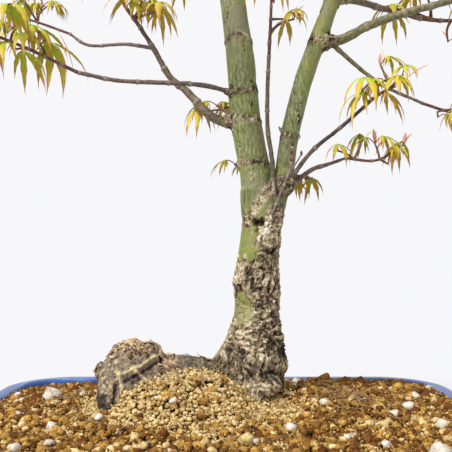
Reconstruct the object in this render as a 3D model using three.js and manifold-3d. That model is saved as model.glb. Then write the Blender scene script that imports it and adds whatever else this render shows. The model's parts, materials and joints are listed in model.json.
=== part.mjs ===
// A small maple tree in a glazed tray pot, in its first spring leaf.
// The trunk stands on a flat cut at soil level and forks into two limbs. Thin boughs leave the limbs,
// and each bough ends where its spray of twigs and leaves begins.
// Millimetres, +Z up. Before the last step X = 0, Y = 0 is the middle of the pot and Z = 0 is the table.

import * as THREE from 'three';
import { mergeVertices } from 'three/addons/utils/BufferGeometryUtils.js';
import Module from 'manifold-3d';

const wasm = await Module();
wasm.setup();

// Driving dimensions
const gap = 0.3; // clearance wherever two pieces meet
const potLength = 314;
const potWidth = 215;
const potHeight = 80;
const potSides = 20; // points round the pot's outline, the same number in each corner
const lipWidth = 11;
const footHeight = 9;
const floorThickness = 9;
const cornerRadius = 45;
const tightCorner = 4; // the least corner radius, inside the tray
const drainRadius = 12;
const drainSpacing = 140;
const soilEdge = 77.5; // height of the soil along the pot's wall
const moundRise = 15;
const heapRise = 16;
const backRise = 1.5; // how much higher the bed lies at the back on the right
const trunkFoot = { x: 14.2, y: 0, z: 86 };
const trunkTop = 212;
const trunkLean = 0.08; // sideways travel for each unit of height
const trunkWaist = 12.5;
const trunkFlare = 12;
const flareSweep = 9; // how far the flare runs out on the left, towards the surface root
const bulbCentre = { x: -55.5, y: -11, z: 101 };
const bulbSize = { x: 19.5, y: 18, z: 23 };
const bulbFoot = 81;
const footTuck = 5; // how far the trunk draws in again low down on its right
const heelCentre = { x: 20.5, y: -17, z: 97.5 };
const heelSize = { x: 12, y: 8, z: 6.5 };
const twigTip = 0.75; // radius of the finest twig
const twigMargin = 1;
const longTwig = 24; // a twig longer than this shows its bend
const sideStemRadius = 1.1; // a stem that leaves a limb's side, with no bough
const leafLength = 24;
const leafWidth = 17;
const leafThickness = 0.8;
const leafStalk = 5;
const leafMargin = 1.2;
const leafHold = 1.2; // how far short of a twig's end its leaves are rooted

const glaze = new THREE.MeshStandardMaterial({ color: 0x2f5fa8, roughness: 0.15 });
const granules = new THREE.MeshStandardMaterial({ color: 0xb08a54, roughness: 0.95 });
const corkBark = new THREE.MeshStandardMaterial({ color: 0x8c7a63, roughness: 0.9 });
const greenBark = new THREE.MeshStandardMaterial({ color: 0x7f8858, roughness: 0.65 });
const twigBark = new THREE.MeshStandardMaterial({ color: 0x6b5347, roughness: 0.6 });
const springLeaf = new THREE.MeshStandardMaterial({ color: 0xb4b02c, roughness: 0.5 });

const up = new THREE.Vector3(0, 0, 1);
const point = ([x, y, z]) => new THREE.Vector3(x, y, z);
const mix = (a, b, share) => a + (b - a) * share;
const smooth = (from, to, value) => THREE.MathUtils.smoothstep(value, from, to);

// The same seed always deals the same numbers, between 0 and 1.
function dice(seed) {
  let state = seed;
  return () => {
    state = (state * 48271) % 2147483647;
    return state / 2147483647;
  };
}

function solidOf(geometry) {
  const flat = geometry.index ? geometry.toNonIndexed() : geometry;
  const bare = new THREE.BufferGeometry().setAttribute('position', flat.getAttribute('position'));
  const merged = mergeVertices(bare, 1e-4);
  const mesh = new wasm.Mesh({
    numProp: 3,
    vertProperties: merged.getAttribute('position').array,
    triVerts: new Uint32Array(merged.index.array),
  });
  return new wasm.Manifold(mesh);
}

function geometryOf(solid) {
  const mesh = solid.getMesh();
  const geometry = new THREE.BufferGeometry();
  geometry.setAttribute('position', new THREE.BufferAttribute(mesh.vertProperties, 3));
  geometry.setIndex(new THREE.BufferAttribute(mesh.triVerts, 1));
  const flat = geometry.toNonIndexed();
  flat.computeVertexNormals();
  return flat;
}

// The biggest body of a solid: scraps that a cut leaves loose are dropped.
function biggest(solid) {
  const bodies = solid.decompose();
  return bodies.reduce((best, body) => (body.volume() > best.volume() ? body : best));
}

// A closed barrel of rings: place gives the point for a side, a ring, and how far out (0 on a cap's middle).
function barrel(sides, rings, place) {
  const geometry = new THREE.CylinderGeometry(1, 1, 1, sides, rings);
  const position = geometry.getAttribute('position');
  for (let i = 0; i < position.count; i += 1) {
    const across = position.getX(i);
    const deep = position.getZ(i);
    const ring = Math.round((position.getY(i) + 0.5) * rings);
    const out = Math.hypot(across, deep) > 0.5 ? 1 : 0;
    const side = Math.round((Math.atan2(across, deep) / (2 * Math.PI)) * sides + sides) % sides;
    const placed = place(side, ring, out);
    position.setXYZ(i, placed.x, placed.y, placed.z);
  }
  return geometry;
}

const turnOf = (side, sides) => (side / sides) * 2 * Math.PI - Math.PI / 2;

// A limb: a closed tube along a smooth curve through its bends, thinner towards its tip.
// With extra it is that much thicker and longer all round.
function limbSolid(limb, extra = 0) {
  const sides = limb.sides;
  const rings = limb.rings;
  const frames = limb.curve.computeFrenetFrames(rings);
  const geometry = barrel(sides, rings, (side, ring, out) => {
    const turn = turnOf(side, sides);
    const radius = (limb.radiusAt(ring / rings) + extra) * out;
    const longer = ring === rings ? extra : 0;
    return limb.curve
      .getPointAt(ring / rings)
      .addScaledVector(frames.tangents[ring], longer)
      .addScaledVector(frames.normals[ring], Math.cos(turn) * radius)
      .addScaledVector(frames.binormals[ring], Math.sin(turn) * radius);
  });
  return solidOf(geometry);
}

function makeLimb(name, parents, foot, tip, ease, sides, rings, bends) {
  return {
    name,
    parents,
    sides,
    rings,
    curve: new THREE.CatmullRomCurve3(bends.map(point), false, 'centripetal'),
    radiusAt: (along) => mix(foot, tip, along ** ease),
  };
}

// Pot: a rounded tray with a flat lip, four feet and two drain holes.

function roundedRectangle(side, sides, halfLength, halfWidth, radius) {
  const perCorner = sides / 4;
  const corner = Math.floor(side / perCorner);
  const turn = ((corner + (side % perCorner) / (perCorner - 1)) * Math.PI) / 2 - Math.PI / 2;
  const signX = corner === 0 || corner === 1 ? 1 : -1;
  const signY = corner === 1 || corner === 2 ? 1 : -1;
  return {
    x: signX * (halfLength - radius) + Math.cos(turn) * radius,
    y: signY * (halfWidth - radius) + Math.sin(turn) * radius,
  };
}

// A point of the pot's outline, drawn in by inset.
function trayOutline(side, inset) {
  const radius = Math.max(cornerRadius - inset, tightCorner);
  return roundedRectangle(side, potSides, potLength / 2 - inset, potWidth / 2 - inset, radius);
}

function trayRings(rings) {
  return barrel(potSides, rings.length - 1, (side, ring, out) => {
    const { inset, z } = rings[ring];
    const spot = trayOutline(side, inset);
    return new THREE.Vector3(spot.x * out, spot.y * out, z);
  });
}

const innerFloor = footHeight + floorThickness;
const innerFootInset = lipWidth + 13;

function potSolid() {
  const body = solidOf(
    trayRings([
      { inset: 20, z: footHeight },
      { inset: 15, z: footHeight + 3 },
      { inset: 8, z: 38 },
      { inset: 4.5, z: potHeight - 11 },
      { inset: 0, z: potHeight - 8 },
      { inset: 0, z: potHeight - 1.5 },
      { inset: 1.2, z: potHeight },
      { inset: lipWidth - 1, z: potHeight },
      { inset: lipWidth, z: potHeight - 1.5 },
      { inset: lipWidth + 1, z: potHeight - 20 },
      { inset: innerFootInset, z: innerFloor },
    ])
  );
  const pieces = [body];
  for (const signX of [-1, 1]) {
    for (const signY of [-1, 1]) pieces.push(potFoot(signX, signY));
  }
  let pot = wasm.Manifold.union(pieces);
  for (const sign of [-1, 1]) {
    const drain = new THREE.CylinderGeometry(drainRadius, drainRadius, floorThickness * 3, 12);
    drain.rotateX(Math.PI / 2).translate((sign * drainSpacing) / 2, 0, footHeight + floorThickness / 2);
    pot = pot.subtract(solidOf(drain));
  }
  return pot;
}

// A foot is a low bracket under a corner, a little wider at its top.
function potFoot(signX, signY) {
  const length = 46;
  const width = 34;
  const inset = 28;
  const shape = new THREE.Shape();
  shape.moveTo(0, 0);
  shape.lineTo(length, 0);
  shape.quadraticCurveTo(length - 6, 12, 14, 14);
  shape.quadraticCurveTo(12, width - 6, 0, width);
  shape.closePath();
  const foot = new THREE.ExtrudeGeometry(shape, { depth: footHeight + 2, bevelEnabled: false, curveSegments: 3 });
  let solid = solidOf(foot);
  if (signX > 0) solid = solid.mirror([1, 0, 0]);
  if (signY > 0) solid = solid.mirror([0, 1, 0]);
  return solid.translate([signX * (potLength / 2 - inset), signY * (potWidth / 2 - inset), 0]);
}

// Soil: fills the tray and rises to a mound round the trunk and the old surface root.

function soilHeight(x, y) {
  const mound = moundRise * Math.exp(-(((x + 5) / 105) ** 2) - ((y / 62) ** 2));
  const heap = heapRise * Math.exp(-(((x + 26) / 34) ** 4) - (((y + 22) / 24) ** 2));
  const lumps = 0.8 * Math.sin(x / 7 + y / 11) * Math.cos(y / 8 - x / 19);
  const back = backRise * smooth(20, 100, x) * smooth(-10, 40, y);
  return soilEdge + mound + heap + back + lumps;
}

function soilSolid() {
  const wallRings = [
    { inset: innerFootInset + gap, z: innerFloor + gap },
    { inset: lipWidth + 1 + gap, z: potHeight - 20 },
    { inset: lipWidth + 0.4 + gap, z: soilEdge },
  ];
  const last = wallRings.length - 1;
  const shares = [0.86, 0.7, 0.54, 0.38, 0.2]; // rings of the top, as shares of the outline
  const geometry = barrel(potSides, last + shares.length, (side, ring, out) => {
    const { inset, z } = wallRings[Math.min(ring, last)];
    const spot = trayOutline(side, inset);
    if (ring <= last) return new THREE.Vector3(spot.x * out, spot.y * out, z);
    const x = spot.x * shares[ring - last - 1] * out;
    const y = spot.y * shares[ring - last - 1] * out;
    return new THREE.Vector3(x, y, soilHeight(x, y));
  });
  return solidOf(geometry);
}

// A rounded lump of few faces: a root's heel, or a granule.

function lumpSolid(middle, size, extra = 0) {
  const sides = 6;
  const rings = 2;
  const geometry = barrel(sides, rings, (side, ring, out) => {
    const turn = turnOf(side, sides);
    const rise = (ring / rings) * 1.7 - 0.85;
    const round = Math.sqrt(1 - rise * rise) * out;
    return new THREE.Vector3(
      middle.x + Math.cos(turn) * round * (size.x + extra),
      middle.y + Math.sin(turn) * round * (size.y + extra),
      middle.z + rise * (size.z + extra)
    );
  });
  return solidOf(geometry);
}

// Lumps of pumice half sunk in the bed, each given by its X, Y and radius.

const pumice = [
  [-109, 17, 7.0],
  [10, -73, 6.0],
  [73, 91, 5.3],
  [101, -84, 5.2],
  [116, -43, 4.6],
  [118, 52, 4.2],
  [49, 65, 3.9],
];

const pumiceSolids = () =>
  pumice.map(([x, y, radius]) => {
    const middle = { x, y, z: soilHeight(x, y) };
    return lumpSolid(middle, { x: radius, y: radius * 0.8, z: radius * 0.75 });
  });

// Trunk: level sections whose radius swells towards the foot and a little under the fork, with the
// heel of a root at the front.

function trunkRadius(turn, z) {
  const share = 1 / (1 + Math.exp((z - 121) / 9));
  const fork = 2.3 * smooth(190, trunkTop, z);
  const lobes = 1 + 0.1 * share * Math.cos(5 * turn + 0.9) + 0.04 * Math.cos(3 * turn + z / 22);
  const sweep = flareSweep * (1 - smooth(96, 122, z)) * Math.max(0, Math.cos(turn - Math.PI)) ** 5;
  const tuck = footTuck * (1 - smooth(98, 112, z)) * Math.max(0, Math.cos(turn)) ** 2;
  return (trunkWaist + fork + trunkFlare * share) * lobes + sweep - tuck;
}

function trunkSolid(extra = 0) {
  const sides = 16;
  const heights = [trunkFoot.z - extra, 95, 104, 113, 123, 136, 152, 172, 196, trunkTop + extra];
  const geometry = barrel(sides, heights.length - 1, (side, ring, out) => {
    const z = heights[ring];
    const turn = turnOf(side, sides);
    const radius = (trunkRadius(turn, z) + extra) * out;
    const depth = mix(0.92, 0.72, smooth(150, trunkTop, z));
    const x = trunkFoot.x + trunkLean * (z - trunkFoot.z) + Math.cos(turn) * radius;
    return new THREE.Vector3(x, trunkFoot.y + Math.sin(turn) * radius * depth, z);
  });
  return solidOf(geometry).add(lumpSolid(heelCentre, heelSize, extra));
}

// Old surface root: a weathered bulb left of the trunk, with a leg in front of it and a low ridge
// that runs back to the flare.

const ridge = makeLimb('ridge', [], 15, 11, 0.6, 10, 5, [
  [-58, -11, 101],
  [-40, -9, 100],
  [-24, -7, 101.5],
  [-8, -3, 98],
]);
const rootLeg = makeLimb('leg', [], 9, 6.5, 1, 8, 3, [
  [-68, -18, 98],
  [-67, -25, 90],
  [-63, -30, 78],
]);

function surfaceRootSolid(extra = 0) {
  const sides = 12;
  const rings = 7;
  const bulb = barrel(sides, rings, (side, ring, out) => {
    const turn = turnOf(side, sides);
    const rise = (ring / rings) * 1.84 - 0.92;
    const round = Math.sqrt(1 - rise * rise) * out;
    const lump = 1 + 0.07 * Math.sin(3 * turn + 2 * rise) + 0.05 * Math.cos(5 * turn - 4 * rise);
    return new THREE.Vector3(
      bulbCentre.x + Math.cos(turn) * round * (bulbSize.x * lump + extra),
      bulbCentre.y + Math.sin(turn) * round * (bulbSize.y * lump + extra),
      bulbCentre.z + rise * (bulbSize.z + extra) + 1.5 * round * Math.sin(2 * turn)
    );
  });
  return solidOf(bulb)
    .add(limbSolid(ridge, extra))
    .add(limbSolid(rootLeg, extra))
    .trimByPlane([0, 0, 1], bulbFoot - extra);
}

// Limbs and boughs: name, what each one grows from, foot and tip radius, taper, sides, rings, bends.

const forkCut = trunkTop + gap;

const limbs = [
  makeLimb('left_limb', ['trunk'], 9.6, 3, 1.8, 10, 11, [
    [20, 0, 204],
    [18, 1, 223],
    [12, 3, 259],
    [9, 5, 296],
    [4, 7, 334],
    [-2, 8, 372],
    [-7, 5, 412],
    [-3, 0, 448],
    [4, -4, 478],
  ]),
  makeLimb('right_limb', ['trunk', 'left_limb'], 5.7, 2.3, 2.2, 9, 10, [
    [31, -1, 204],
    [35, -5, 219],
    [38, -7, 242],
    [48, -12, 282],
    [57, -14, 306],
    [63, -15, 323],
    [75, -16, 352],
    [87, -14, 385],
    [93, -10, 415],
    [95, -8, 440],
  ]),
  makeLimb('bough_left_rising', ['left_limb'], 3.6, 1.4, 0.7, 7, 9, [
    [12, 3, 254],
    [0, 3, 255],
    [-8, 4, 258],
    [-25, 9, 276],
    [-35, 12, 285],
    [-47, 16, 306],
    [-56, 20, 321],
  ]),
  makeLimb('bough_left_long', ['left_limb'], 1.6, 1.1, 1, 6, 7, [
    [10, 4, 272],
    [-13, -8, 275],
    [-36, -16, 274.5],
    [-63, -22, 274],
    [-85, -28, 277],
  ]),
  makeLimb('bough_left_side', ['bough_left_rising'], 1.2, 0.9, 1, 5, 5, [
    [-47, 16, 306],
    [-65, 20, 310],
    [-92, 27, 312],
    [-105, 31, 321],
  ]),
  makeLimb('bough_inner', ['trunk', 'left_limb', 'right_limb'], 1.5, 1.1, 1, 6, 6, [
    [28, -5, 207],
    [28, -10, 225],
    [25, -11, 248],
    [25, -10, 271],
    [26, -9, 293],
  ]),
  makeLimb('bough_right_front', ['trunk', 'right_limb'], 1.4, 1, 1, 6, 5, [
    [36, -6, 214],
    [51, -13, 234],
    [66, -18, 246],
    [80, -23, 258],
  ]),
  makeLimb('bough_right_low', ['trunk', 'right_limb'], 1.9, 0.9, 1, 6, 5, [
    [33, -2, 209],
    [43, -1, 217.5],
    [53, 1, 225],
    [64, 4, 229],
    [75, 7, 233],
  ]),
  makeLimb('bud_twig', ['trunk'], 0.9, 0.7, 1, 5, 5, [
    [25, -6, 190],
    [31, -14, 206],
    [35, -17, 216],
    [38, -18, 225],
    [39, -18, 236],
  ]),
  makeLimb('bough_right_long', ['right_limb'], 3.2, 1.7, 0.8, 7, 7, [
    [55, -14, 299],
    [69, -15, 301],
    [85, -19, 308],
    [104, -25, 313],
    [129, -34, 317],
    [146, -39, 322],
  ]),
  makeLimb('bough_right_drop', ['right_limb', 'bough_right_long'], 1.4, 0.9, 1, 5, 6, [
    [58, -14, 303],
    [70, -13, 293],
    [83, -12, 282],
    [95, -11, 274],
    [119, -8, 264],
  ]),
  makeLimb('bough_right_high', ['right_limb'], 2.4, 1.5, 1, 6, 5, [
    [62, -15, 325],
    [76, -10, 327],
    [97, 0, 326],
    [124, 9, 323],
  ]),
  makeLimb('bough_left_back', ['left_limb'], 2.8, 1.4, 1, 5, 4, [
    [2, 8, 348],
    [-13, 44, 372],
    [-30, 80, 392],
  ]),
  makeLimb('bough_left_front', ['left_limb'], 2.6, 1.3, 1, 5, 4, [
    [-2, 8, 374],
    [-22, -26, 391],
    [-42, -66, 403],
  ]),
  makeLimb('bough_left_outer', ['left_limb'], 2.5, 1.3, 1, 5, 4, [
    [-5, 7, 392],
    [-40, 8, 415],
    [-84, 6, 433],
  ]),
  makeLimb('bough_crown_back', ['left_limb'], 2.2, 1.2, 1, 5, 4, [
    [-6, 3, 424],
    [6, 36, 446],
    [18, 68, 462],
  ]),
  makeLimb('bough_crown_front', ['left_limb'], 2, 1.2, 1, 5, 4, [
    [-4, 1, 438],
    [-8, -30, 458],
    [-10, -58, 472],
  ]),
  makeLimb('bough_crown_left', ['left_limb'], 1.9, 1.1, 1, 5, 4, [
    [-2, -1, 454],
    [-30, 2, 477],
    [-56, 4, 494],
  ]),
  makeLimb('bough_right_back', ['right_limb'], 2.2, 1.3, 1, 5, 4, [
    [73, -16, 348],
    [84, 22, 370],
    [95, 58, 388],
  ]),
  makeLimb('bough_right_outer', ['right_limb'], 2.1, 1.3, 1, 5, 4, [
    [81, -15, 368],
    [112, -20, 386],
    [142, -22, 400],
  ]),
  makeLimb('bough_right_fore', ['right_limb'], 1.9, 1.2, 1, 5, 4, [
    [90, -12, 396],
    [92, -44, 412],
    [92, -76, 424],
  ]),
  makeLimb('bough_right_inner', ['right_limb'], 1.7, 1.1, 1, 5, 4, [
    [93, -10, 414],
    [74, 10, 432],
    [58, 28, 444],
  ]),
];

const limbNamed = (name) => limbs.find((limb) => limb.name === name);

// A parent a little thicker than life, to cut its clearance out of what grows from it.
function grown(name) {
  if (name === 'trunk') return trunkSolid(gap);
  return limbSolid(limbNamed(name), gap);
}

const clearOf = (solid, names) => names.reduce((rest, name) => rest.subtract(grown(name)), solid);

function limbPiece(limb) {
  let solid = clearOf(limbSolid(limb), limb.parents);
  if (limb.parents.includes('trunk') && limb.name !== 'bud_twig') {
    solid = solid.trimByPlane([0, 0, 1], forkCut);
  }
  return biggest(solid);
}

// Sprays: each grows from a bough's tip, or from the skin of a limb, along a stem. Pairs of shoots leave
// the stem by turns of a right angle, and a pair of young leaves hangs from each shoot's end.
// name, what it grows from, seed, reach about its stem, pairs of shoots by rule, stem bends after the
// start, and any shoots that are placed one by one.

const sprays = [
  spray('leaves_left_low', 'bough_left_long', 11, 34, 0, [[-111, -36, 288], [-138, -46, 297]], [
    [-89, -31, 294],
    [-103, -30, 298],
    [-116, -37, 306],
    [-128, -46, 304],
    [-120, -30, 290],
    [-150, -52, 300],
  ]),
  spray('leaves_left_side', 'bough_left_side', 23, 36, 1, [[-126, 36, 330], [-152, 42, 340]], [
    [-135, 30, 342],
    [-126, 48, 346],
  ]),
  spray('leaves_left_rising', 'bough_left_rising', 37, 34, 1, [[-69, 24, 341], [-76, 28, 362]], [
    [-45, 18, 331],
    [-54, 10, 334],
    [-65, 16, 333],
  ]),
  spray('leaves_left_under', 'left_limb', 41, 40, 0, [[3, 18, 262], [-6, 26, 271]], [[-14, 26, 266], [4, 34, 272]], [
    10, 6, 252,
  ]),
  spray('leaves_behind', 'left_limb', 43, 36, 0, [[12, 18, 226], [6, 26, 232]], [[0, 20, 230], [14, 34, 232]], [
    16, 5, 221,
  ]),
  spray('leaves_inner', 'bough_inner', 53, 28, 2, [[27, -9, 312], [28, -8, 338]], [[36, -8, 316]]),
  spray('leaves_right_front', 'bough_right_front', 61, 30, 0, [[87, -26, 264], [97, -29, 269]], [
    [78, -27, 268],
    [89, -27, 282],
    [92, -32, 270],
    [101, -31, 275],
    [84, -28, 262],
  ]),
  spray('leaves_right_low', 'bough_right_low', 67, 30, 0, [[94, 10, 232], [107, 12, 238]], [
    [70, 8, 238],
    [86, 9, 246],
    [94, 10, 243],
    [103, 12, 230],
    [114, 14, 243],
    [96, 16, 234],
  ]),
  spray('leaves_fork', 'right_limb', 71, 34, 0, [[43, 6, 222], [48, 10, 222]], [[42, 14, 220], [54, 9, 220]], [
    36, -4, 222,
  ]),
  spray('leaves_right_long', 'bough_right_long', 79, 36, 1, [[165, -42, 328], [186, -44, 332]], [
    [128, -30, 332],
    [146, -50, 336],
  ]),
  spray('leaves_right_drop', 'bough_right_drop', 83, 32, 2, [[138, -5, 259], [160, -2, 256]], []),
  spray('leaves_right_high', 'bough_right_high', 89, 34, 1, [[139, 13, 323], [166, 18, 326]], [
    [110, 16, 330],
    [98, 14, 330],
    [126, 2, 334],
  ]),
  spray('leaves_left_back', 'bough_left_back', 101, 46, 3, [[-40, 98, 404], [-54, 124, 414]], []),
  spray('leaves_left_front', 'bough_left_front', 103, 46, 3, [[-54, -88, 410], [-66, -112, 414]], []),
  spray('leaves_left_outer', 'bough_left_outer', 107, 46, 2, [[-110, 6, 442], [-140, 8, 448]], []),
  spray('leaves_crown_back', 'bough_crown_back', 109, 44, 3, [[24, 86, 472], [32, 112, 484]], []),
  spray('leaves_crown_front', 'bough_crown_front', 113, 44, 2, [[-12, -78, 482], [-16, -102, 490]], []),
  spray('leaves_crown_left', 'bough_crown_left', 127, 42, 2, [[-74, 5, 506], [-92, 6, 520]], []),
  spray('leaves_crown_top', 'left_limb', 131, 42, 3, [[6, -4, 505], [2, -2, 548]], []),
  spray('leaves_right_back', 'bough_right_back', 137, 44, 3, [[102, 80, 400], [110, 106, 410]], []),
  spray('leaves_right_outer', 'bough_right_outer', 139, 42, 3, [[160, -24, 408], [182, -26, 414]], []),
  spray('leaves_right_fore', 'bough_right_fore', 149, 44, 2, [[94, -96, 430], [98, -120, 436]], []),
  spray('leaves_right_inner', 'bough_right_inner', 151, 36, 3, [[50, 36, 456], [44, 40, 476]], []),
  spray('leaves_right_top', 'right_limb', 157, 42, 3, [[98, -6, 462], [102, -4, 492]], []),
];

function spray(name, from, seed, reach, pairs, stem, shoots, root) {
  return { name, from, seed, reach, pairs, stem: stem.map(point), shoots: shoots.map(point), root };
}

// Start and first radius of a stem: on a limb's axis, or at the tip of the bough that it carries on.
function rootOf(mass) {
  if (mass.root) return { start: point(mass.root), radius: sideStemRadius };
  const limb = limbNamed(mass.from);
  return { start: limb.curve.getPointAt(1), radius: limb.radiusAt(1) };
}

const stemNodes = 6;

const masses = sprays.map((mass) => {
  const { start, radius } = rootOf(mass);
  const curve = new THREE.CatmullRomCurve3([start, ...mass.stem], false, 'centripetal');
  return { ...mass, start, radius, curve };
});

// Everything that a twig or a leaf has to keep clear of, as short straight stretches with a radius.
const stretches = limbs.flatMap((limb) =>
  Array.from({ length: limb.rings }, (_, ring) => ({
    limb,
    from: limb.curve.getPointAt(ring / limb.rings),
    to: limb.curve.getPointAt((ring + 1) / limb.rings),
    radius: limb.radiusAt(ring / limb.rings),
  }))
);

function distanceToStretch(spot, from, to) {
  const line = new THREE.Line3(from, to);
  return line.closestPointToPoint(spot, true, new THREE.Vector3()).distanceTo(spot);
}

const distanceToStem = (spot, mass) =>
  Math.min(
    distanceToStretch(spot, mass.start, mass.stem[0]),
    distanceToStretch(spot, mass.stem[0], mass.stem[1])
  );

// A spot belongs to a spray while it is within reach of its stem and nearer to it than to any other.
function inOwnSpace(spot, mass, margin) {
  const own = distanceToStem(spot, mass);
  if (own > mass.reach) return false;
  return masses.every((other) => other === mass || distanceToStem(spot, other) > own + 2 * margin);
}

function clearOfLimbs(spot, margin) {
  return stretches.every(({ from, to, radius }) => distanceToStretch(spot, from, to) > radius + margin);
}

const fits = (spot, mass, margin) => inOwnSpace(spot, mass, margin) && clearOfLimbs(spot, margin);

// A twig: three-sided, and a long one has a bend that lifts its middle a little.
function makeTwig(from, to, bend, foot) {
  const middle = from.clone().lerp(to, 0.5).add(bend);
  const curve = new THREE.CatmullRomCurve3([from, middle, to], false, 'centripetal');
  const rings = curve.getLength() > longTwig ? 2 : 1;
  return { curve, sides: 3, rings, radiusAt: (along) => mix(foot, twigTip, along) };
}

// Which way a stem or a twig points in its last straight stretch.
function forwardOf({ curve, rings }) {
  return curve.getPointAt(1).sub(curve.getPointAt((rings - 1) / rings)).normalize();
}

// A young leaf: eight faces, its root sunk past the twig's axis, its two shoulders lower than its midrib.
function leafSolid(leaf) {
  const along = leaf.tip.clone().sub(leaf.root).normalize();
  const over = new THREE.Vector3().crossVectors(leaf.side, along).normalize();
  const sunkRoot = leaf.root.clone().addScaledVector(along, -0.3);
  const geometry = new THREE.OctahedronGeometry(1, 0);
  const position = geometry.getAttribute('position');
  for (let i = 0; i < position.count; i += 1) {
    const x = position.getX(i);
    const y = position.getY(i);
    const z = position.getZ(i);
    const placed = leaf.middle.clone();
    if (y > 0.5) placed.copy(leaf.tip);
    if (y < -0.5) placed.copy(sunkRoot);
    placed.addScaledVector(leaf.side, (x * leafWidth) / 2);
    placed.addScaledVector(over, (z * leafThickness) / 2 - Math.abs(x) * leafThickness * 2);
    position.setXYZ(i, placed.x, placed.y, placed.z);
  }
  return solidOf(geometry);
}

// One of a pair: out and a little up on its stalk, then hanging.
function makeLeaf(end, outward, forward, size) {
  const root = end.clone().addScaledVector(forward, -leafHold);
  const middle = end
    .clone()
    .addScaledVector(outward, leafStalk + 0.3 * leafLength * size)
    .addScaledVector(forward, 2)
    .addScaledVector(up, 1);
  const tip = end
    .clone()
    .addScaledVector(outward, leafStalk + 0.55 * leafLength * size)
    .addScaledVector(forward, 3)
    .addScaledVector(up, -0.78 * leafLength * size);
  const along = tip.clone().sub(end);
  const side = new THREE.Vector3().crossVectors(along, up).normalize();
  return { root, middle, tip, side };
}

function leafFits(leaf, mass) {
  const shoulders = [-0.5, 0.5].map((s) => leaf.middle.clone().addScaledVector(leaf.side, s * leafWidth));
  const between = leaf.middle.clone().lerp(leaf.tip, 0.5);
  return [leaf.middle, leaf.tip, between, ...shoulders].every((spot) => fits(spot, mass, leafMargin));
}

// The shoots of a spray by rule: pairs, each pair turned a right angle from the last.
function shootsByRule(mass, roll) {
  const shoots = [];
  const forward = mass.stem[1].clone().sub(mass.start).normalize();
  const level = new THREE.Vector3().crossVectors(forward, up);
  if (level.length() < 0.3) level.set(1, 0, 0);
  level.normalize();
  const lift = new THREE.Vector3().crossVectors(level, forward).normalize();
  for (let pair = 0; pair < mass.pairs; pair += 1) {
    const node = mass.curve.getPointAt((pair + 0.8) / (mass.pairs + 0.6));
    const turn = pair * (Math.PI / 2) + (roll() - 0.5) * 1.2 + 0.4;
    for (const sign of [-1, 1]) {
      const reach = mass.reach * (0.5 + 0.2 * roll());
      shoots.push(
        node
          .clone()
          .addScaledVector(level, sign * Math.cos(turn) * reach)
          .addScaledVector(lift, sign * Math.sin(turn) * reach * 0.8)
          .addScaledVector(forward, mass.reach * 0.25)
      );
    }
  }
  return shoots;
}

// Where a shoot leaves the stem: a node short of the nearest point, so that it grows forward.
function nodeFor(mass, shoot) {
  const length = mass.curve.getLength();
  const costs = [1, 2, 3, 4, 5].map((node) => {
    const spot = mass.curve.getPointAt(node / stemNodes);
    const behind = mass.curve.getTangentAt(node / stemNodes).dot(shoot.clone().sub(spot));
    return spot.distanceTo(shoot) + Math.max(0, 0.03 * length - behind) * 2;
  });
  return (costs.indexOf(Math.min(...costs)) + 1) / stemNodes;
}

function sprayPiece(mass) {
  const roll = dice(mass.seed);
  const foot = Math.max(mass.radius, twigTip);
  const radiusAt = (along) => mix(foot, twigTip, along);
  const stem = { curve: mass.curve, sides: 3, rings: stemNodes, radiusAt };
  const twigs = [{ twig: stem, turn: roll() - 0.5 }];
  for (const shoot of [...mass.shoots, ...shootsByRule(mass, roll)]) {
    const along = nodeFor(mass, shoot);
    const node = mass.curve.getPointAt(along);
    const lift = 0.14 * node.distanceTo(shoot);
    const bend = new THREE.Vector3(roll() - 0.5, roll() - 0.5, roll() * 0.6).multiplyScalar(lift);
    const turn = roll() * 0.9 - 0.45;
    const twig = makeTwig(node, shoot, bend, radiusAt(along) * 0.9);
    const inside = [shoot, twig.curve.getPointAt(0.5)].every((spot) => fits(spot, mass, twigMargin));
    if (inside) twigs.push({ twig, turn });
  }
  const pieces = twigs.map(({ twig }) => limbSolid(twig));
  for (const { twig, turn } of twigs) {
    const forward = forwardOf(twig);
    const outward = new THREE.Vector3().crossVectors(forward, up);
    if (outward.length() < 0.35) outward.set(1, 0, 0);
    outward.setZ(0).normalize().applyAxisAngle(up, turn);
    for (const sign of [-1, 1]) {
      const size = 0.8 + 0.4 * roll();
      const leaf = makeLeaf(twig.curve.getPointAt(1), outward.clone().multiplyScalar(sign), forward, size);
      if (leafFits(leaf, mass)) pieces.push(leafSolid(leaf));
    }
  }
  return biggest(clearOf(wasm.Manifold.union(pieces), [mass.from]));
}

// Assembly

const group = new THREE.Group();

function addPiece(name, solid, material) {
  const mesh = new THREE.Mesh(geometryOf(solid), material);
  mesh.name = name;
  group.add(mesh);
}

const trunk = trunkSolid();
const surfaceRoot = biggest(surfaceRootSolid().subtract(trunkSolid(gap)));
const bed = pumiceSolids().reduce((whole, lump) => whole.add(lump), soilSolid());
const soil = biggest(bed.subtract(trunkSolid(gap)).subtract(surfaceRootSolid(gap)));

addPiece('pot', potSolid(), glaze);
addPiece('soil', soil, granules);
addPiece('trunk', trunk, corkBark);
addPiece('surface_root', surfaceRoot, corkBark);
for (const limb of limbs) {
  addPiece(limb.name, limbPiece(limb), limb.name.includes('limb') ? greenBark : twigBark);
}
for (const mass of masses) addPiece(mass.name, sprayPiece(mass), springLeaf);

// The part's own origin is under the middle of its box, on the table.
const box = new THREE.Box3().setFromObject(group);
const middle = box.getCenter(new THREE.Vector3());
group.position.set(-middle.x, -middle.y, -box.min.z);

export default group;
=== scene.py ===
# A small maple tree in a glazed tray pot, in its first spring leaf.
# All lengths are millimetres in the pot's own frame: X = 0, Y = 0 is the middle of the pot and
# Z = 0 is the table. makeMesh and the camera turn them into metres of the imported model's frame.
# Only the distances of bumps, the floor's size and heights read from Object coordinates are metres.

import json
import math

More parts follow.
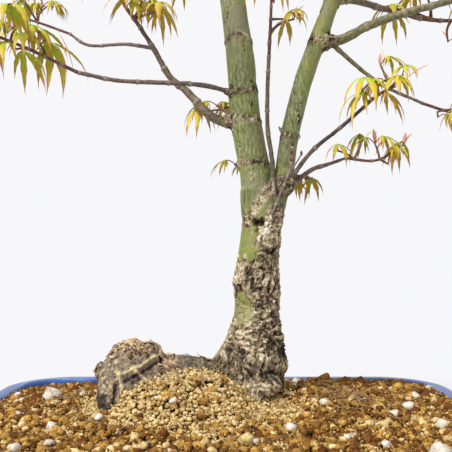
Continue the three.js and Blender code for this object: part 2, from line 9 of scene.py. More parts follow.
import bpy
import numpy as np
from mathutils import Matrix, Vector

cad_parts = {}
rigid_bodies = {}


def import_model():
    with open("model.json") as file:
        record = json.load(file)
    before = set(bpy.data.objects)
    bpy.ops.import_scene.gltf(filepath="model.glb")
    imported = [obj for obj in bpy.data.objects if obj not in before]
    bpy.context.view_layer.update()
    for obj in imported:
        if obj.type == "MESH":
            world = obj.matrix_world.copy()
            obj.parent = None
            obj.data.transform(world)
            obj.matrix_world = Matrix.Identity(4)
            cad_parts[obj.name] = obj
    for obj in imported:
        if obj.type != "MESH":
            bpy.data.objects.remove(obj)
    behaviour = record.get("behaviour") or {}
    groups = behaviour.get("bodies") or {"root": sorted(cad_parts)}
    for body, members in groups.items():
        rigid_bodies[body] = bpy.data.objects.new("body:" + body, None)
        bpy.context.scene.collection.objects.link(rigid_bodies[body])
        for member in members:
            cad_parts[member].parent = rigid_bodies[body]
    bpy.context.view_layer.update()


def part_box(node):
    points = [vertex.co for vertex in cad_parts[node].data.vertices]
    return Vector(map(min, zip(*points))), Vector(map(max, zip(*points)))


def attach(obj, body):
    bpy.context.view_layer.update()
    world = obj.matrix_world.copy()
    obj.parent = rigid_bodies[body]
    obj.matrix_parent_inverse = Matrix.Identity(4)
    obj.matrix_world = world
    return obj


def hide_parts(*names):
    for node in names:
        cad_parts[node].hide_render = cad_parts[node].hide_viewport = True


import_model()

potLow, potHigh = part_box("pot")
potMiddle = np.array([(potLow.x + potHigh.x) / 2, (potLow.y + potHigh.y) / 2, potLow.z])
up = np.array([0.0, 0.0, 1.0])
mmPerMetre = 1000


# Places in the pot's own millimetres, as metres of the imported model's frame
def metres(points):
    return np.asarray(points, float) / mmPerMetre + potMiddle


# The places of a mesh's vertices, back in millimetres
def millimetres(mesh):
    places = np.zeros(len(mesh.vertices) * 3, np.float32)
    mesh.vertices.foreach_get("co", places)
    return (places.reshape(-1, 3) - potMiddle) * mmPerMetre


# Vectors made one long
def unit(vectors):
    return vectors / np.maximum(np.linalg.norm(vectors, axis=-1, keepdims=True), 1e-9)


# 0 below low, 1 above high, and 3t^2 - 2t^3 between them
def smooth(low, high, value):
    t = np.clip((value - low) / (high - low), 0, 1)
    return t * t * (3 - 2 * t)


# 1 at the middle, falling off as a bell that is width wide on each side
def bell(value, width):
    return np.exp(-((value / width) ** 2))


diceFactor = 48271
diceModulus = 2147483647


# The same seed always deals the same numbers, between 0 and 1, in step with the CAD source's rule:
# each state is the last one times diceFactor, less whole multiples of diceModulus
def dice(seed):
    state = seed

    def roll():
        nonlocal state
        state = (state * diceFactor) % diceModulus
        return state / diceModulus

    return roll


# Big odd numbers: one for each coordinate of a corner, one for the salt and one for the last stir
stirs = [73856093, 19349663, 83492791, 2654435761, 1274126177]
wordMask = 0xFFFFFFFF  # keeps 32 bits


# A number from 0 to 1 for each corner of a lattice: its coordinates times the stirs, mixed bit by bit
def scramble(corner, salt):
    c = np.asarray(corner).astype(np.int64)
    h = (c[..., 0] * stirs[0]) ^ (c[..., 1] * stirs[1]) ^ (c[..., 2] * stirs[2]) ^ (salt * stirs[3])
    h = (h ^ (h >> 13)) & wordMask
    h = (h * stirs[4]) & wordMask
    return ((h ^ (h >> 16)) & wordMask) / 2**32


# Value noise, -1 to 1: the eight corners round a point, mixed by how near it is to each. size is the
# lattice's step in millimetres, and each use has its own salt.
def noise(points, size, salt):
    p = points / size
    base = np.floor(p)
    f = smooth(0, 1, p - base)
    total = np.zeros(len(p))
    for corner in np.ndindex(2, 2, 2):
        weight = np.prod(np.where(np.array(corner, bool), f, 1 - f), axis=-1)
        total += weight * scramble(base + corner, salt)
    return total * 2 - 1


# Three noises side by side, to push points about
def noiseVector(points, size, salt):
    return np.stack([noise(points, size, salt + k) for k in range(3)], -1)


# Sharp crests over round hollows: 1 - 2|noise|
def crests(points, size, salt):
    return 1 - 2 * np.abs(noise(points, size, salt))


# Cells round scattered points: how much further the second nearest point is than the nearest,
# which is 0 on a border, and the number of the cell
def cells(points, size, salt):
    p = points / size
    base = np.floor(p)
    first = np.full(len(p), 9.0)  # further than any point
    second = first.copy()
    own = np.zeros(len(p))
    for step in np.ndindex(3, 3, 3):
        corner = base + np.array(step) - 1
        scattered = np.stack([scramble(corner, salt + k) for k in range(3)], -1)
        away = np.linalg.norm(p - corner - scattered, axis=-1)
        closer = away < first
        second = np.where(closer, first, np.minimum(second, away))
        own = np.where(closer, scramble(corner, salt + 3), own)
        first = np.minimum(first, away)
    return second - first, own


# Curves and tubes

# A smooth curve through its bends (centripetal Catmull-Rom): between b and c it is the cubic that
# leaves b and reaches c with slopes taken from the neighbours. Given as points and shares of length.
def curveThrough(bends, samples=24):
    p = np.array(bends, float)
    p = np.vstack([2 * p[0] - p[1], p, 2 * p[-1] - p[-2]])
    t = np.linspace(0, 1, samples + 1)[:, None]
    rows = [p[1:2]]
    for a, b, c, d in zip(p, p[1:], p[2:], p[3:]):
        ab, bc, cd = (math.sqrt(np.linalg.norm(v)) for v in (b - a, c - b, d - c))
        leave = ((b - a) / ab - (c - a) / (ab + bc) + (c - b) / bc) * bc
        reach = ((c - b) / bc - (d - b) / (bc + cd) + (d - c) / cd) * bc
        rows.append((b + leave * t + (3 * (c - b) - 2 * leave - reach) * t**2
                     + (2 * (b - c) + leave + reach) * t**3)[1:])
    points = np.vstack(rows)
    length = np.concatenate([[0], np.cumsum(np.linalg.norm(np.diff(points, axis=0), axis=1))])
    return {"points": points, "shares": length / length[-1], "length": length[-1]}


# The points of a curve at some shares of its length, or at one
def placesAt(curve, shares):
    return np.stack([np.interp(shares, curve["shares"], axis) for axis in curve["points"].T], -1)


def placeAt(curve, share):
    return placesAt(curve, np.array([share]))[0]


# Indices of the triangles between rings of equal size, turned outwards
def ringTriangles(rings, sides):
    r, s = (a.ravel() for a in np.meshgrid(np.arange(rings - 1), np.arange(sides), indexing="ij"))
    t = (s + 1) % sides
    a, b, c, d = r * sides + s, r * sides + t, (r + 1) * sides + t, (r + 1) * sides + s
    return np.vstack([np.stack([a, b, c], -1), np.stack([a, c, d], -1)])


# A closed skin over rings of points (rings x sides x 3), with a point in the middle of each end
def skin(rings):
    count, sides = rings.shape[:2]
    middles = [ring.mean(0, keepdims=True) for ring in (rings[0], rings[-1])]
    points = np.vstack([rings.reshape(-1, 3), *middles])
    s = np.arange(sides)
    t = (s + 1) % sides
    foot, tip = np.full(sides, count * sides), np.full(sides, count * sides + 1)
    last = (count - 1) * sides
    caps = [np.stack([foot, t, s], -1), np.stack([tip, last + s, last + t], -1)]
    return points, np.vstack([ringTriangles(count, sides), *caps])


steepPath = 0.75  # a path that climbs by more than this share of its length counts as upright


# A tube: side s of ring r is centre + radius * (cos(turn) * across + sin(turn) * over),
# with across and over square to the path, and across level unless the path climbs steeply. radii
# is one number a ring, or one a ring and side.
def tube(centres, radii, sides):
    along = unit(np.gradient(centres, axis=0))
    level = up if np.abs(along[:, 2]).mean() < steepPath else np.array([0.0, 1.0, 0.0])
    across = unit(np.cross(level, along))
    over = np.cross(along, across)
    turn = np.arange(sides) * 2 * np.pi / sides
    out = np.cos(turn)[:, None] * across[:, None] + np.sin(turn)[:, None] * over[:, None]
    radii = np.asarray(radii, float)
    radii = np.broadcast_to(radii[:, None] if radii.ndim == 1 else radii, (len(centres), sides))
    return skin(centres[:, None] + out * radii[..., None])


# A ball or an egg: the sphere's point for a height and a turn, times the size on each axis
def ball(middle, size, sides=32, rings=20):
    rise = np.cos(np.linspace(np.pi * 0.97, np.pi * 0.03, rings))[:, None]
    turn = (np.arange(sides) * 2 * np.pi / sides)[None]
    flat = np.sqrt(1 - rise**2)
    grid = np.stack([np.cos(turn) * flat, np.sin(turn) * flat, rise + 0 * turn], -1)
    return skin(np.array(middle) + grid * np.array(size))


# Several shapes as one: their points, and their triangles counted on
def joined(parts):
    counts = np.cumsum([0] + [len(points) for points, _ in parts])
    points = np.vstack([points for points, _ in parts])
    triangles = np.vstack([triangles + start for (_, triangles), start in zip(parts, counts)])
    return points, triangles


# A mesh of smooth-shaded triangles, in metres
def makeMesh(name, points, triangles):
    mesh = bpy.data.meshes.new(name)
    mesh.vertices.add(len(points))
    mesh.vertices.foreach_set("co", metres(points).astype(np.float32).ravel())
    mesh.loops.add(triangles.size)
    mesh.loops.foreach_set("vertex_index", triangles.astype(np.int32).ravel())
    mesh.polygons.add(len(triangles))
    mesh.polygons.foreach_set("loop_start", np.arange(0, triangles.size, 3, dtype=np.int32))
    mesh.polygons.foreach_set("use_smooth", np.ones(len(triangles), bool))
    mesh.update(calc_edges=True)
    return mesh


# A new object with its data, in the scene
def addObject(name, data):
    made = bpy.data.objects.new(name, data)
    bpy.context.scene.collection.objects.link(made)
    return made


# Puts a mesh into the scene as a piece. values are its own attributes, one number for each vertex.
def putPiece(name, mesh, material, nodes, values=None):
    for key, numbers in (values or {}).items():
        attribute = mesh.attributes.new(key, "FLOAT", "POINT")
        attribute.data.foreach_set("value", numbers.astype(np.float32))
    mesh.materials.clear()
    mesh.materials.append(material)
    piece = addObject(name, mesh)
    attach(piece, "root")
    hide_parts(*nodes)
    print(f"piece {name}: {len(mesh.polygons)} faces")


# The same for a shape that is still points and triangles
def putShape(name, shape, material, nodes, values=None):
    putPiece(name, makeMesh(name, *shape), material, nodes, values)


# The points and triangles of a mesh whose shapes are fused by a voxel remesh and softened
def fused(points, triangles, voxel, rounds):
    rough = addObject("rough", makeMesh("rough", points, triangles))
    remesh = rough.modifiers.new("fuse", "REMESH")
    remesh.mode = "VOXEL"
    remesh.voxel_size = voxel / mmPerMetre
    soften = rough.modifiers.new("soften", "SMOOTH")
    soften.factor = 0.5
    soften.iterations = rounds
    graph = bpy.context.evaluated_depsgraph_get()
    mesh = bpy.data.meshes.new_from_object(rough.evaluated_get(graph))
    bpy.data.objects.remove(rough)
    mesh.calc_loop_triangles()
    corners = np.zeros(len(mesh.loop_triangles) * 3, np.int32)
    mesh.loop_triangles.foreach_get("vertices", corners)
    return millimetres(mesh), corners.reshape(-1, 3)


# Each vertex's normal: the sum of the normals of the triangles round it
def normalsOf(points, triangles):
    a, b, c = (points[triangles[:, k]] for k in range(3))
    face = np.cross(b - a, c - a)
    total = np.zeros_like(points)
    for k in range(3):
        for axis in range(3):
            total[:, axis] += np.bincount(triangles[:, k], face[:, axis], len(points))
    return unit(total)


# Materials

# An sRGB hex value as linear red, green, blue and alpha
def hexColour(text):
    values = [int(text[k:k + 2], 16) / 255 for k in (0, 2, 4)]
    return [v / 12.92 if v <= 0.04045 else ((v + 0.055) / 1.055) ** 2.4 for v in values] + [1.0]


# Adds a node. A setting is a socket's value, by name or number, or else a property of the node,
# and stops are a ramp's places and colours. Colours are hex values. A link is a node, or a node and
# its output. A colour Mix has its share at socket 0, its colours at 6 and 7, and its result at 2.
def addNode(tree, kind, settings=None, links=None):
    node = tree.nodes.new("ShaderNode" + kind)
    for key, value in (settings or {}).items():
        if key == "stops":
            for k, (place, colour) in enumerate(value):
                stop = node.color_ramp.elements[k] if k < 2 else node.color_ramp.elements.new(place)
                stop.position, stop.color = place, hexColour(colour)
        elif isinstance(key, int) or key in node.inputs:
            node.inputs[key].default_value = hexColour(value) if isinstance(value, str) else value
        else:
            setattr(node, key, value)
    for key, source in (links or {}).items():
        source, output = source if isinstance(source, tuple) else (source, 0)
        tree.links.new(source.outputs[output], node.inputs[key])
    return node


# A material with no nodes yet, and its node tree
def newMaterial(name):
    material = bpy.data.materials.new(name)
    material.use_nodes = True
    material.node_tree.nodes.clear()
    return material, material.node_tree


# A pattern's scale from the size of one of its spots in millimetres
def perMetre(size):
    return mmPerMetre / size


# Cobalt glaze over stoneware, dipped and fired: glassy, a little mottled, pale where it runs thin
# over the lip's edges and, as painted reflection, on the lip's top, and bare buff clay under the feet.
def cobaltGlaze():
    material, tree = newMaterial("cobaltGlaze")
    place = (addNode(tree, "TexCoord"), "Object")
    thin, bare = ((addNode(tree, "Attribute", {"attribute_name": key}), "Fac")
                  for key in ("thin", "bare"))
    cloud = addNode(tree, "TexNoise", {"Scale": perMetre(22), "Detail": 4}, {"Vector": place})
    blue = addNode(tree, "ValToRGB", {"stops": [(0.3, "1b3f80"), (0.7, "3f69a4"), (0.5, "2a5293")]},
                   {0: cloud})
    # Pale blue on the lip's top: thin glaze at its edges, and painted reflection
    pale = addNode(tree, "Mix", {"data_type": "RGBA", 7: "b6c5e0"}, {0: thin, 6: blue})
    clay = addNode(tree, "Mix", {"data_type": "RGBA", 7: "9c7a5a"}, {0: bare, 6: (pale, 2)})
    rough = addNode(tree, "MapRange", {"To Min": 0.08, "To Max": 0.85}, {"Value": bare})
    peel = addNode(tree, "TexNoise", {"Scale": perMetre(4)}, {"Vector": place})
    bump = addNode(tree, "Bump", {"Strength": 0.06, "Distance": 0.0006}, {"Height": peel})
    glass = addNode(tree, "BsdfPrincipled", {"IOR": 1.52},
                    {"Base Color": (clay, 2), "Roughness": rough, "Normal": bump})
    addNode(tree, "OutputMaterial", {}, {"Surface": glass})
    return material


# Baked clay crumb under the granules: dull, dark brown, and darkened near black as painted shade in
# the gaps between the granules.
def gritWithPaintedShade():
    material, tree = newMaterial("gritWithPaintedShade")
    place = (addNode(tree, "TexCoord"), "Object")
    crumb = addNode(tree, "TexNoise", {"Scale": perMetre(3), "Detail": 6}, {"Vector": place})
    # Near black to dark brown: painted shade seen between the granules
    brown = addNode(tree, "ValToRGB", {"stops": [(0.35, "1d1007"), (0.68, "573817")]}, {0: crumb})
    bump = addNode(tree, "Bump", {"Strength": 0.9, "Distance": 0.002}, {"Height": crumb})
    earth = addNode(tree, "BsdfPrincipled", {"Roughness": 0.95}, {"Base Color": brown, "Normal": bump})
    addNode(tree, "OutputMaterial", {}, {"Surface": earth})
    return material


# Fired clay or pumice granules, crushed and sieved: chalky, porous and mottled, dark in their pits
# as painted shade and pale on their crests as painted highlight. The pits are drawn 1.5 mm apart,
# coarser than real ones, so that they show.
def granuleClay(name, dark, light):
    material, tree = newMaterial(name)
    place = (addNode(tree, "TexCoord"), "Object")
    body = addNode(tree, "TexNoise", {"Scale": perMetre(5), "Detail": 3}, {"Vector": place})
    pits = addNode(tree, "TexNoise", {"Scale": perMetre(1.5), "Detail": 5, "Roughness": 0.75},
                   {"Vector": place})
    both = addNode(tree, "Math", {"operation": "ADD"}, {0: body, 1: pits})
    mean = addNode(tree, "Math", {"operation": "MULTIPLY", 1: 0.5}, {0: both})
    # From the painted shade of the pits to the painted highlight of the crests, over a slow mottling
    tint = addNode(tree, "ValToRGB", {"stops": [(0.38, dark), (0.62, light)]}, {0: mean})
    bump = addNode(tree, "Bump", {"Strength": 1.0, "Distance": 0.0011}, {"Height": pits})
    chalk = addNode(tree, "BsdfPrincipled", {"Roughness": 0.93, "Specular IOR Level": 0.2},
                    {"Base Color": tint, "Normal": bump})
    addNode(tree, "OutputMaterial", {}, {"Surface": chalk})
    return material


# Living maple bark. Where cork is 0 it is smooth green young bark with pale upright streaks and
# tiny breathing pores. Where cork is 1 it is blocky grey-tan cork: tone runs from the near black of
# its cracks, partly painted shade, to the pale crests, partly bleached and partly painted highlight.
def mapleBark(name, greens):
    material, tree = newMaterial(name)
    place = (addNode(tree, "TexCoord"), "Object")
    tone, moss, cork = ((addNode(tree, "Attribute", {"attribute_name": key}), "Fac")
                        for key in ("tone", "moss", "cork"))
    stretch = addNode(tree, "Mapping", {"Scale": (1, 1, 0.26)}, {"Vector": place})
    streak = addNode(tree, "TexNoise", {"Scale": perMetre(1.3), "Detail": 9, "Roughness": 0.8},
                     {"Vector": stretch})
    green = addNode(tree, "ValToRGB", {"stops": [(0.35, greens[0]), (0.69, greens[2]), (0.5, greens[1])]},
                    {0: streak})
    cloud = addNode(tree, "TexNoise", {"Scale": perMetre(28), "Detail": 5}, {"Vector": place})
    fresh = addNode(tree, "MapRange", {"From Min": 0.42, "From Max": 0.6, "To Max": 0.75}, {"Value": cloud})
    lively = addNode(tree, "Mix", {"data_type": "RGBA", 7: "868a2e"}, {0: fresh, 6: green})
    patch = addNode(tree, "TexNoise", {"Scale": perMetre(20), "Detail": 4}, {"Vector": place})
    weather = addNode(tree, "MapRange", {"From Min": 0.42, "From Max": 0.72, "To Max": 0.55},
                      {"Value": patch})
    # Greyer from 285 to 335 mm up
    height = addNode(tree, "SeparateXYZ", {}, {0: place})
    aged = addNode(tree, "MapRange", {"From Min": 0.285, "From Max": 0.335, "To Max": 0.22},
                   {"Value": (height, 2)})
    weather = addNode(tree, "Math", {"operation": "ADD", "use_clamp": True}, {0: weather, 1: aged})
    grey = addNode(tree, "Mix", {"data_type": "RGBA", 7: "857d6c"}, {0: weather, 6: (lively, 2)})
    pore = addNode(tree, "TexVoronoi", {"Scale": perMetre(3.2)}, {"Vector": place})
    dot = addNode(tree, "MapRange", {"From Min": 0.14, "From Max": 0.07, "To Max": 0.75}, {"Value": pore})
    skinTint = addNode(tree, "Mix", {"data_type": "RGBA", 7: "4a422e"}, {0: dot, 6: (grey, 2)})
    grain = addNode(tree, "TexNoise", {"Scale": perMetre(1.8), "Detail": 7, "Roughness": 0.75},
                    {"Vector": place})
    speck = addNode(tree, "MapRange", {"From Min": 0.3, "From Max": 0.7, "To Min": -0.28, "To Max": 0.28},
                    {"Value": grain})
    level = addNode(tree, "Math", {"operation": "ADD", "use_clamp": True}, {0: tone, 1: speck})
    # Cork from the near black of its cracks, partly painted shade, to the near white of its crests, partly
    # painted highlight
    corkTint = addNode(tree, "ValToRGB", {"stops": [(0.04, "1a120c"), (0.93, "f6eee0"), (0.28, "635542"),
                                                   (0.5, "a59273"), (0.7, "cfc0a2")]}, {0: level})
    spotty = addNode(tree, "MapRange", {"From Min": 0.4, "From Max": 0.55, "To Max": 1.2}, {"Value": grain})
    tuft = addNode(tree, "Math", {"operation": "MULTIPLY", "use_clamp": True},
                   {0: moss, 1: spotty})
    mossy = addNode(tree, "Mix", {"data_type": "RGBA", 7: "43451f"}, {0: tuft, 6: corkTint})
    tint = addNode(tree, "Mix", {"data_type": "RGBA"}, {0: cork, 6: (skinTint, 2), 7: (mossy, 2)})
    rough = addNode(tree, "MapRange", {"To Min": 0.5, "To Max": 0.95}, {"Value": cork})
    depth = addNode(tree, "MapRange", {"To Min": 0.35, "To Max": 1}, {"Value": cork})
    bump = addNode(tree, "Bump", {"Distance": 0.001}, {"Height": grain, "Strength": depth})
    bark = addNode(tree, "BsdfPrincipled", {"Specular IOR Level": 0.3},
                   {"Base Color": (tint, 2), "Roughness": rough, "Normal": bump})
    addNode(tree, "OutputMaterial", {}, {"Surface": bark})
    return material


# Old weathered root bark: grey-brown, dry, creased lengthwise, with rusty flakes that lift on top.
# tone runs from the near black of its creases and cracks, partly painted shade, to pale peeling
# ridges and crests, the crests partly painted highlight.
def weatheredRoot():
    material, tree = newMaterial("weatheredRoot")
    place = (addNode(tree, "TexCoord"), "Object")
    tone, flake, moss = ((addNode(tree, "Attribute", {"attribute_name": key}), "Fac")
                         for key in ("tone", "flake", "moss"))
    grain = addNode(tree, "TexNoise", {"Scale": perMetre(2.2), "Detail": 9, "Roughness": 0.78},
                    {"Vector": place})
    speck = addNode(tree, "MapRange", {"From Min": 0.3, "From Max": 0.7, "To Min": -0.25, "To Max": 0.25},
                    {"Value": grain})
    level = addNode(tree, "Math", {"operation": "ADD", "use_clamp": True}, {0: tone, 1: speck})
    body = addNode(tree, "ValToRGB", {"stops": [(0.05, "15100c"), (0.95, "e2cfa4"), (0.3, "453a33"),
                                               (0.52, "77695c"), (0.72, "a8946f")]}, {0: level})
    rust = addNode(tree, "ValToRGB", {"stops": [(0.15, "2c1c12"), (0.88, "dcc096"), (0.5, "80624a")]},
                   {0: level})
    lifted = addNode(tree, "Mix", {"data_type": "RGBA"}, {0: flake, 6: body, 7: rust})
    tint = addNode(tree, "Mix", {"data_type": "RGBA", 7: "414725"}, {0: moss, 6: (lifted, 2)})
    bump = addNode(tree, "Bump", {"Strength": 1.0, "Distance": 0.0012}, {"Height": grain})
    bark = addNode(tree, "BsdfPrincipled", {"Roughness": 0.9, "Specular IOR Level": 0.3},
                   {"Base Color": (tint, 2), "Normal": bump})
    addNode(tree, "OutputMaterial", {}, {"Surface": bark})
    return material


# Thin young bark of boughs and twigs, and the skin of leaf stalks, winter buds and dry root fibres:
# satin, greyed with age, with fine rings at the nodes. Where green is 1 it is the olive bark of a
# bough that grew last year, and where dusk is 1 it is nearly black.
def youngBark(name, dark, light, ring):
    material, tree = newMaterial(name)
    place = (addNode(tree, "TexCoord"), "Object")
    green, dusk, node = ((addNode(tree, "Attribute", {"attribute_name": key}), "Fac")
                         for key in ("green", "dusk", "ring"))
    grain = addNode(tree, "TexNoise", {"Scale": perMetre(1.8), "Detail": 7, "Roughness": 0.7},
                    {"Vector": place})
    body = addNode(tree, "ValToRGB", {"stops": [(0.34, dark), (0.68, light)]}, {0: grain})
    olive = addNode(tree, "ValToRGB", {"stops": [(0.34, "474821"), (0.68, "938f5c")]}, {0: grain})
    bark = addNode(tree, "Mix", {"data_type": "RGBA"}, {0: green, 6: body, 7: olive})
    dim = addNode(tree, "Mix", {"data_type": "RGBA", 7: "2c1f1a"}, {0: dusk, 6: (bark, 2)})
    tint = addNode(tree, "Mix", {"data_type": "RGBA", 7: ring}, {0: node, 6: (dim, 2)})
    bump = addNode(tree, "Bump", {"Strength": 0.45, "Distance": 0.0005}, {"Height": grain})
    shine = addNode(tree, "BsdfPrincipled", {"Roughness": 0.55, "Specular IOR Level": 0.35},
                    {"Base Color": (tint, 2), "Normal": bump})
    addNode(tree, "OutputMaterial", {}, {"Surface": shine})
    return material


# Young maple leaf or bud scale: soft and satin, one plain tint.
def springLeaf(name, colour):
    material, tree = newMaterial(name)
    blade = addNode(tree, "BsdfPrincipled", {"Base Color": colour, "Roughness": 0.5,
                                             "Specular IOR Level": 0.25})
    addNode(tree, "OutputMaterial", {}, {"Surface": blade})
    return material


# Pot

potSettings = {
    "length": 314,
    "width": 215,
    "cornerRadius": 45,
    "tightCorner": 4,
    "lipWidth": 11,
    "height": 80,
    "footHeight": 9,
    "floorThickness": 9,
    "drainRadius": 12,
    "drainSpacing": 140,
    "footLength": 46,
    "footWidth": 34,
    "footInset": 28,
    "footHollow": (14, 12, 6),  # how thick a foot's bracket is at its corner, and its curve's pull
    "footRings": [(0, 0.95), (0.8, 0.98), (4, 1), (11, 1.04)],  # height and share of its size
    "sideSteps": 26,
    "cornerSteps": 18,
}


# The outline: four quarter circles joined by straight sides, drawn in by inset
def trayOutline(inset):
    s = potSettings
    radius = max(s["cornerRadius"] - inset, s["tightCorner"])
    half = np.array([s["length"], s["width"]]) / 2 - inset - radius
    corners = np.array([(1, -1), (1, 1), (-1, 1), (-1, -1)]) * half
    rows = []
    for k, corner in enumerate(corners):
        turn = np.radians(np.linspace(-90, 0, s["cornerSteps"]) + 90 * k)
        arc = radius * np.stack([np.cos(turn), np.sin(turn)], -1)
        start, end = corner + arc[-1], corners[(k + 1) % 4] + arc[-1]
        rows += [corner + arc, start + (end - start) * np.linspace(0, 1, s["sideSteps"] + 2)[1:-1, None]]
    return np.vstack(rows)


# The outline as a ring of points at one height
def outlineRing(inset, z):
    flat = trayOutline(inset)
    return np.hstack([flat, np.full((len(flat), 1), float(z))])


# A profile of (inset, height) corners, walked in even steps and averaged over its neighbours,
# which rounds every edge
def roundedProfile(corners, step=1.3, rounds=2):
    p = np.array(corners, float)
    length = np.concatenate([[0], np.cumsum(np.linalg.norm(np.diff(p, axis=0), axis=1))])
    walk = np.linspace(0, length[-1], int(length[-1] / step))
    p = np.stack([np.interp(walk, length, p[:, k]) for k in range(2)], -1)
    for _ in range(rounds):
        p[1:-1] = (p[:-2] + 2 * p[1:-1] + p[2:]) / 4
    return p


# A corner foot: a bracket, a little wider at its top, whose inner edge is two hollow curves. Each is
# (1 - t)^2 * its start + 2t(1 - t) * its pull + t^2 * its end.
def bracketFoot(signX, signY):
    s = potSettings
    long, wide = s["footLength"], s["footWidth"]
    thick, pull, back = s["footHollow"]
    t = np.linspace(0, 1, 12)[:, None]
    along = (1 - t) ** 2 * [long, 0] + 2 * t * (1 - t) * [long - back, pull] + t**2 * [thick, thick]
    across = (1 - t) ** 2 * [thick, thick] + 2 * t * (1 - t) * [pull, wide - back] + t**2 * [0, wide]
    outline = np.vstack([[0, 0], along, across[1:]])
    middle = outline.mean(0)
    rings = []
    for height, share in s["footRings"]:
        flat = np.clip(middle + (outline - middle) * share, 0, None)
        x = signX * (s["length"] / 2 - s["footInset"] - flat[:, 0])
        y = signY * (s["width"] / 2 - s["footInset"] - flat[:, 1])
        rings.append(np.stack([x, y, np.full(len(x), float(height))], -1))
    rings = np.array(rings)
    return skin(rings if signX * signY > 0 else rings[:, ::-1])


# The pot: its outline at each inset and height of a rounded profile, from under the bowl up its
# outside, over the lip and down its inside, closed by smaller rings below and on its floor. Feet are
# added and drain holes cut.
def makePot():
    s = potSettings
    h, foot, lip = s["height"], s["footHeight"], s["lipWidth"]
    floor = foot + s["floorThickness"]
    bowl = roundedProfile([(22, foot), (15, foot + 3), (8, 38), (4.5, h - 11), (0, h - 8), (0, h - 1.2),
                           (1.2, h), (lip - 1, h), (lip, h - 1.5), (lip + 1, h - 20), (lip + 13, floor)])
    rings = [outlineRing(inset, z) for inset, z in bowl]
    inner, outer = rings[-1], rings[0]
    shares = [0.8, 0.5, 0.2]
    rings = [outer * [k, k, 1] for k in shares[::-1]] + rings + [inner * [k, k, 1] for k in shares]
    body = makeMesh("pot_glaze", *skin(np.array(rings)))
    tools = [("UNION", bracketFoot(signX, signY)) for signX in (-1, 1) for signY in (-1, 1)]
    for sign in (-1, 1):
        centres = np.array([[sign * s["drainSpacing"] / 2, 0, z] for z in (-5.0, 8.0, 24.0)])
        tools.append(("DIFFERENCE", tube(centres, s["drainRadius"], sides=40)))
    pot = addObject("pot_shape", body)
    others = []
    for k, (how, shape) in enumerate(tools):
        other = addObject(f"tool{k}", makeMesh(f"tool{k}", *shape))
        cut = pot.modifiers.new(f"cut{k}", "BOOLEAN")
        cut.operation = how
        cut.object = other
        cut.solver = "EXACT"
        others.append(other)
    mesh = bpy.data.meshes.new_from_object(pot.evaluated_get(bpy.context.evaluated_depsgraph_get()))
    for other in [pot, *others]:
        bpy.data.objects.remove(other)
    mesh.name = "pot_glaze"
    # The lip's top is pale along its outer edge and, less so, its inner one, partly as thin glaze and
    # partly as painted reflection, and the pot is bare under the feet
    p = millimetres(mesh)
    offTop = np.abs(p[:, 2] - (h - 0.3))
    outX = np.abs(p[:, 0]) - s["length"] / 2
    outY = np.abs(p[:, 1]) - s["width"] / 2
    fromEdge = -np.maximum(outX, outY)
    thin = bell(offTop, 0.9) * np.maximum(bell(fromEdge - 1, 1.6), 0.3 * bell(fromEdge - lip + 0.6, 1.4))
    thin = np.clip(thin * (0.8 + 0.5 * noise(p, 7, 5)), 0, 1)
    bare = 1 - smooth(0.6, 2.2, p[:, 2])
    putPiece("pot_glaze", mesh, cobaltGlaze(), ["pot"], {"thin": thin, "bare": bare})


# Soil

soilSettings = {
    "edge": 77.5,
    # rise, then middle and reach in X and in Y
    "mound": (15, -5, 105, 0, 62),
    "heap": (16, -26, 34, -22, 24),
    "fineHeap": (1.25, -14, 66, -22, 42),  # the share of fine granules, not a height
    "backRise": 1.5,
    "leftDip": 1.4,
    "coarseStep": 3.9,
    "fineStep": 2.4,
    "coarseSize": (3.2, 6.6),
    "fineSize": (1.8, 3.8),
    "clearOfPot": 12.2,
    "bedWall": [(24.6, 18.6), (12.5, 60), (11.8, 66)],  # inset and height
    "bedDepth": 3.2,
    "crumbStep": 2.2,
    "crumbSize": (1.0, 2.3),
    # a draw from 0 to 1 picks the kind by how many of these it passes
    "crumbLimits": [0.18, 0.5, 0.85],
    "fineLimits": [0.84, 0.955, 0.985, 0.992],
    "coarseLimits": [0.12, 0.5, 0.8, 0.985],
    "browner": [0.4, 1, 0.8, 0],  # how far each coarse limit falls at the back
    "sunk": 2.4,  # how far the first layer of granules lies below the soil's height
    "layerRise": 0.34,  # how far each next layer lies above it, in steps of its grid
    "uneven": (-0.25, 0.35),  # how far a granule is moved down or up, in its own sizes
    "lumpRise": 0.8,
    "squat": 0.85,  # height of a granule beside its width
    # crumbs: how far their six points are moved in or out, and how far they lie below or above
    "crumbShape": (0.65, 1.25),
    "crumbRise": (-1.3, 1.1),
    "crumbPaler": 0.55,  # how far a crumb's draw falls in the fine heap
}


# A hill: its rise times a bell in X and one in Y. With power 4 its top is flatter in X.
def hill(x, y, rise, middleX, reachX, middleY, reachY, power=2):
    return rise * np.exp(-(((x - middleX) / reachX) ** power)) * bell(y - middleY, reachY)


# The bed's height, as in the solid but for a deeper dip: the edge, a wide mound round the trunk, a
# flat-topped heap in front of the old root, a rise at the back on the right and slow lumps, less a
# dip at the back left
def soilHeight(x, y):
    s = soilSettings
    mound = hill(x, y, *s["mound"])
    heap = hill(x, y, *s["heap"], power=4)
    lumps = 0.8 * np.sin(x / 7 + y / 11) * np.cos(y / 8 - x / 19)
    back = s["backRise"] * smooth(20, 100, x) * smooth(-10, 40, y)
    dip = s["leftDip"] * smooth(-10, -75, x) * smooth(20, 90, y)
    return s["edge"] + mound + heap + back + lumps - dip


# How far inside the pot's inner wall a place is: negative outside it
def insideTray(x, y):
    s = potSettings
    radius = s["cornerRadius"] - soilSettings["clearOfPot"]
    overX = np.maximum(np.abs(x) - (s["length"] / 2 - s["cornerRadius"]), 0)
    overY = np.maximum(np.abs(y) - (s["width"] / 2 - s["cornerRadius"]), 0)
    deepest = np.minimum(s["length"] / 2 - np.abs(x), s["width"] / 2 - np.abs(y)) - soilSettings["clearOfPot"]
    corner = radius - np.hypot(overX, overY)
    return np.where((overX > 0) & (overY > 0), corner, deepest)


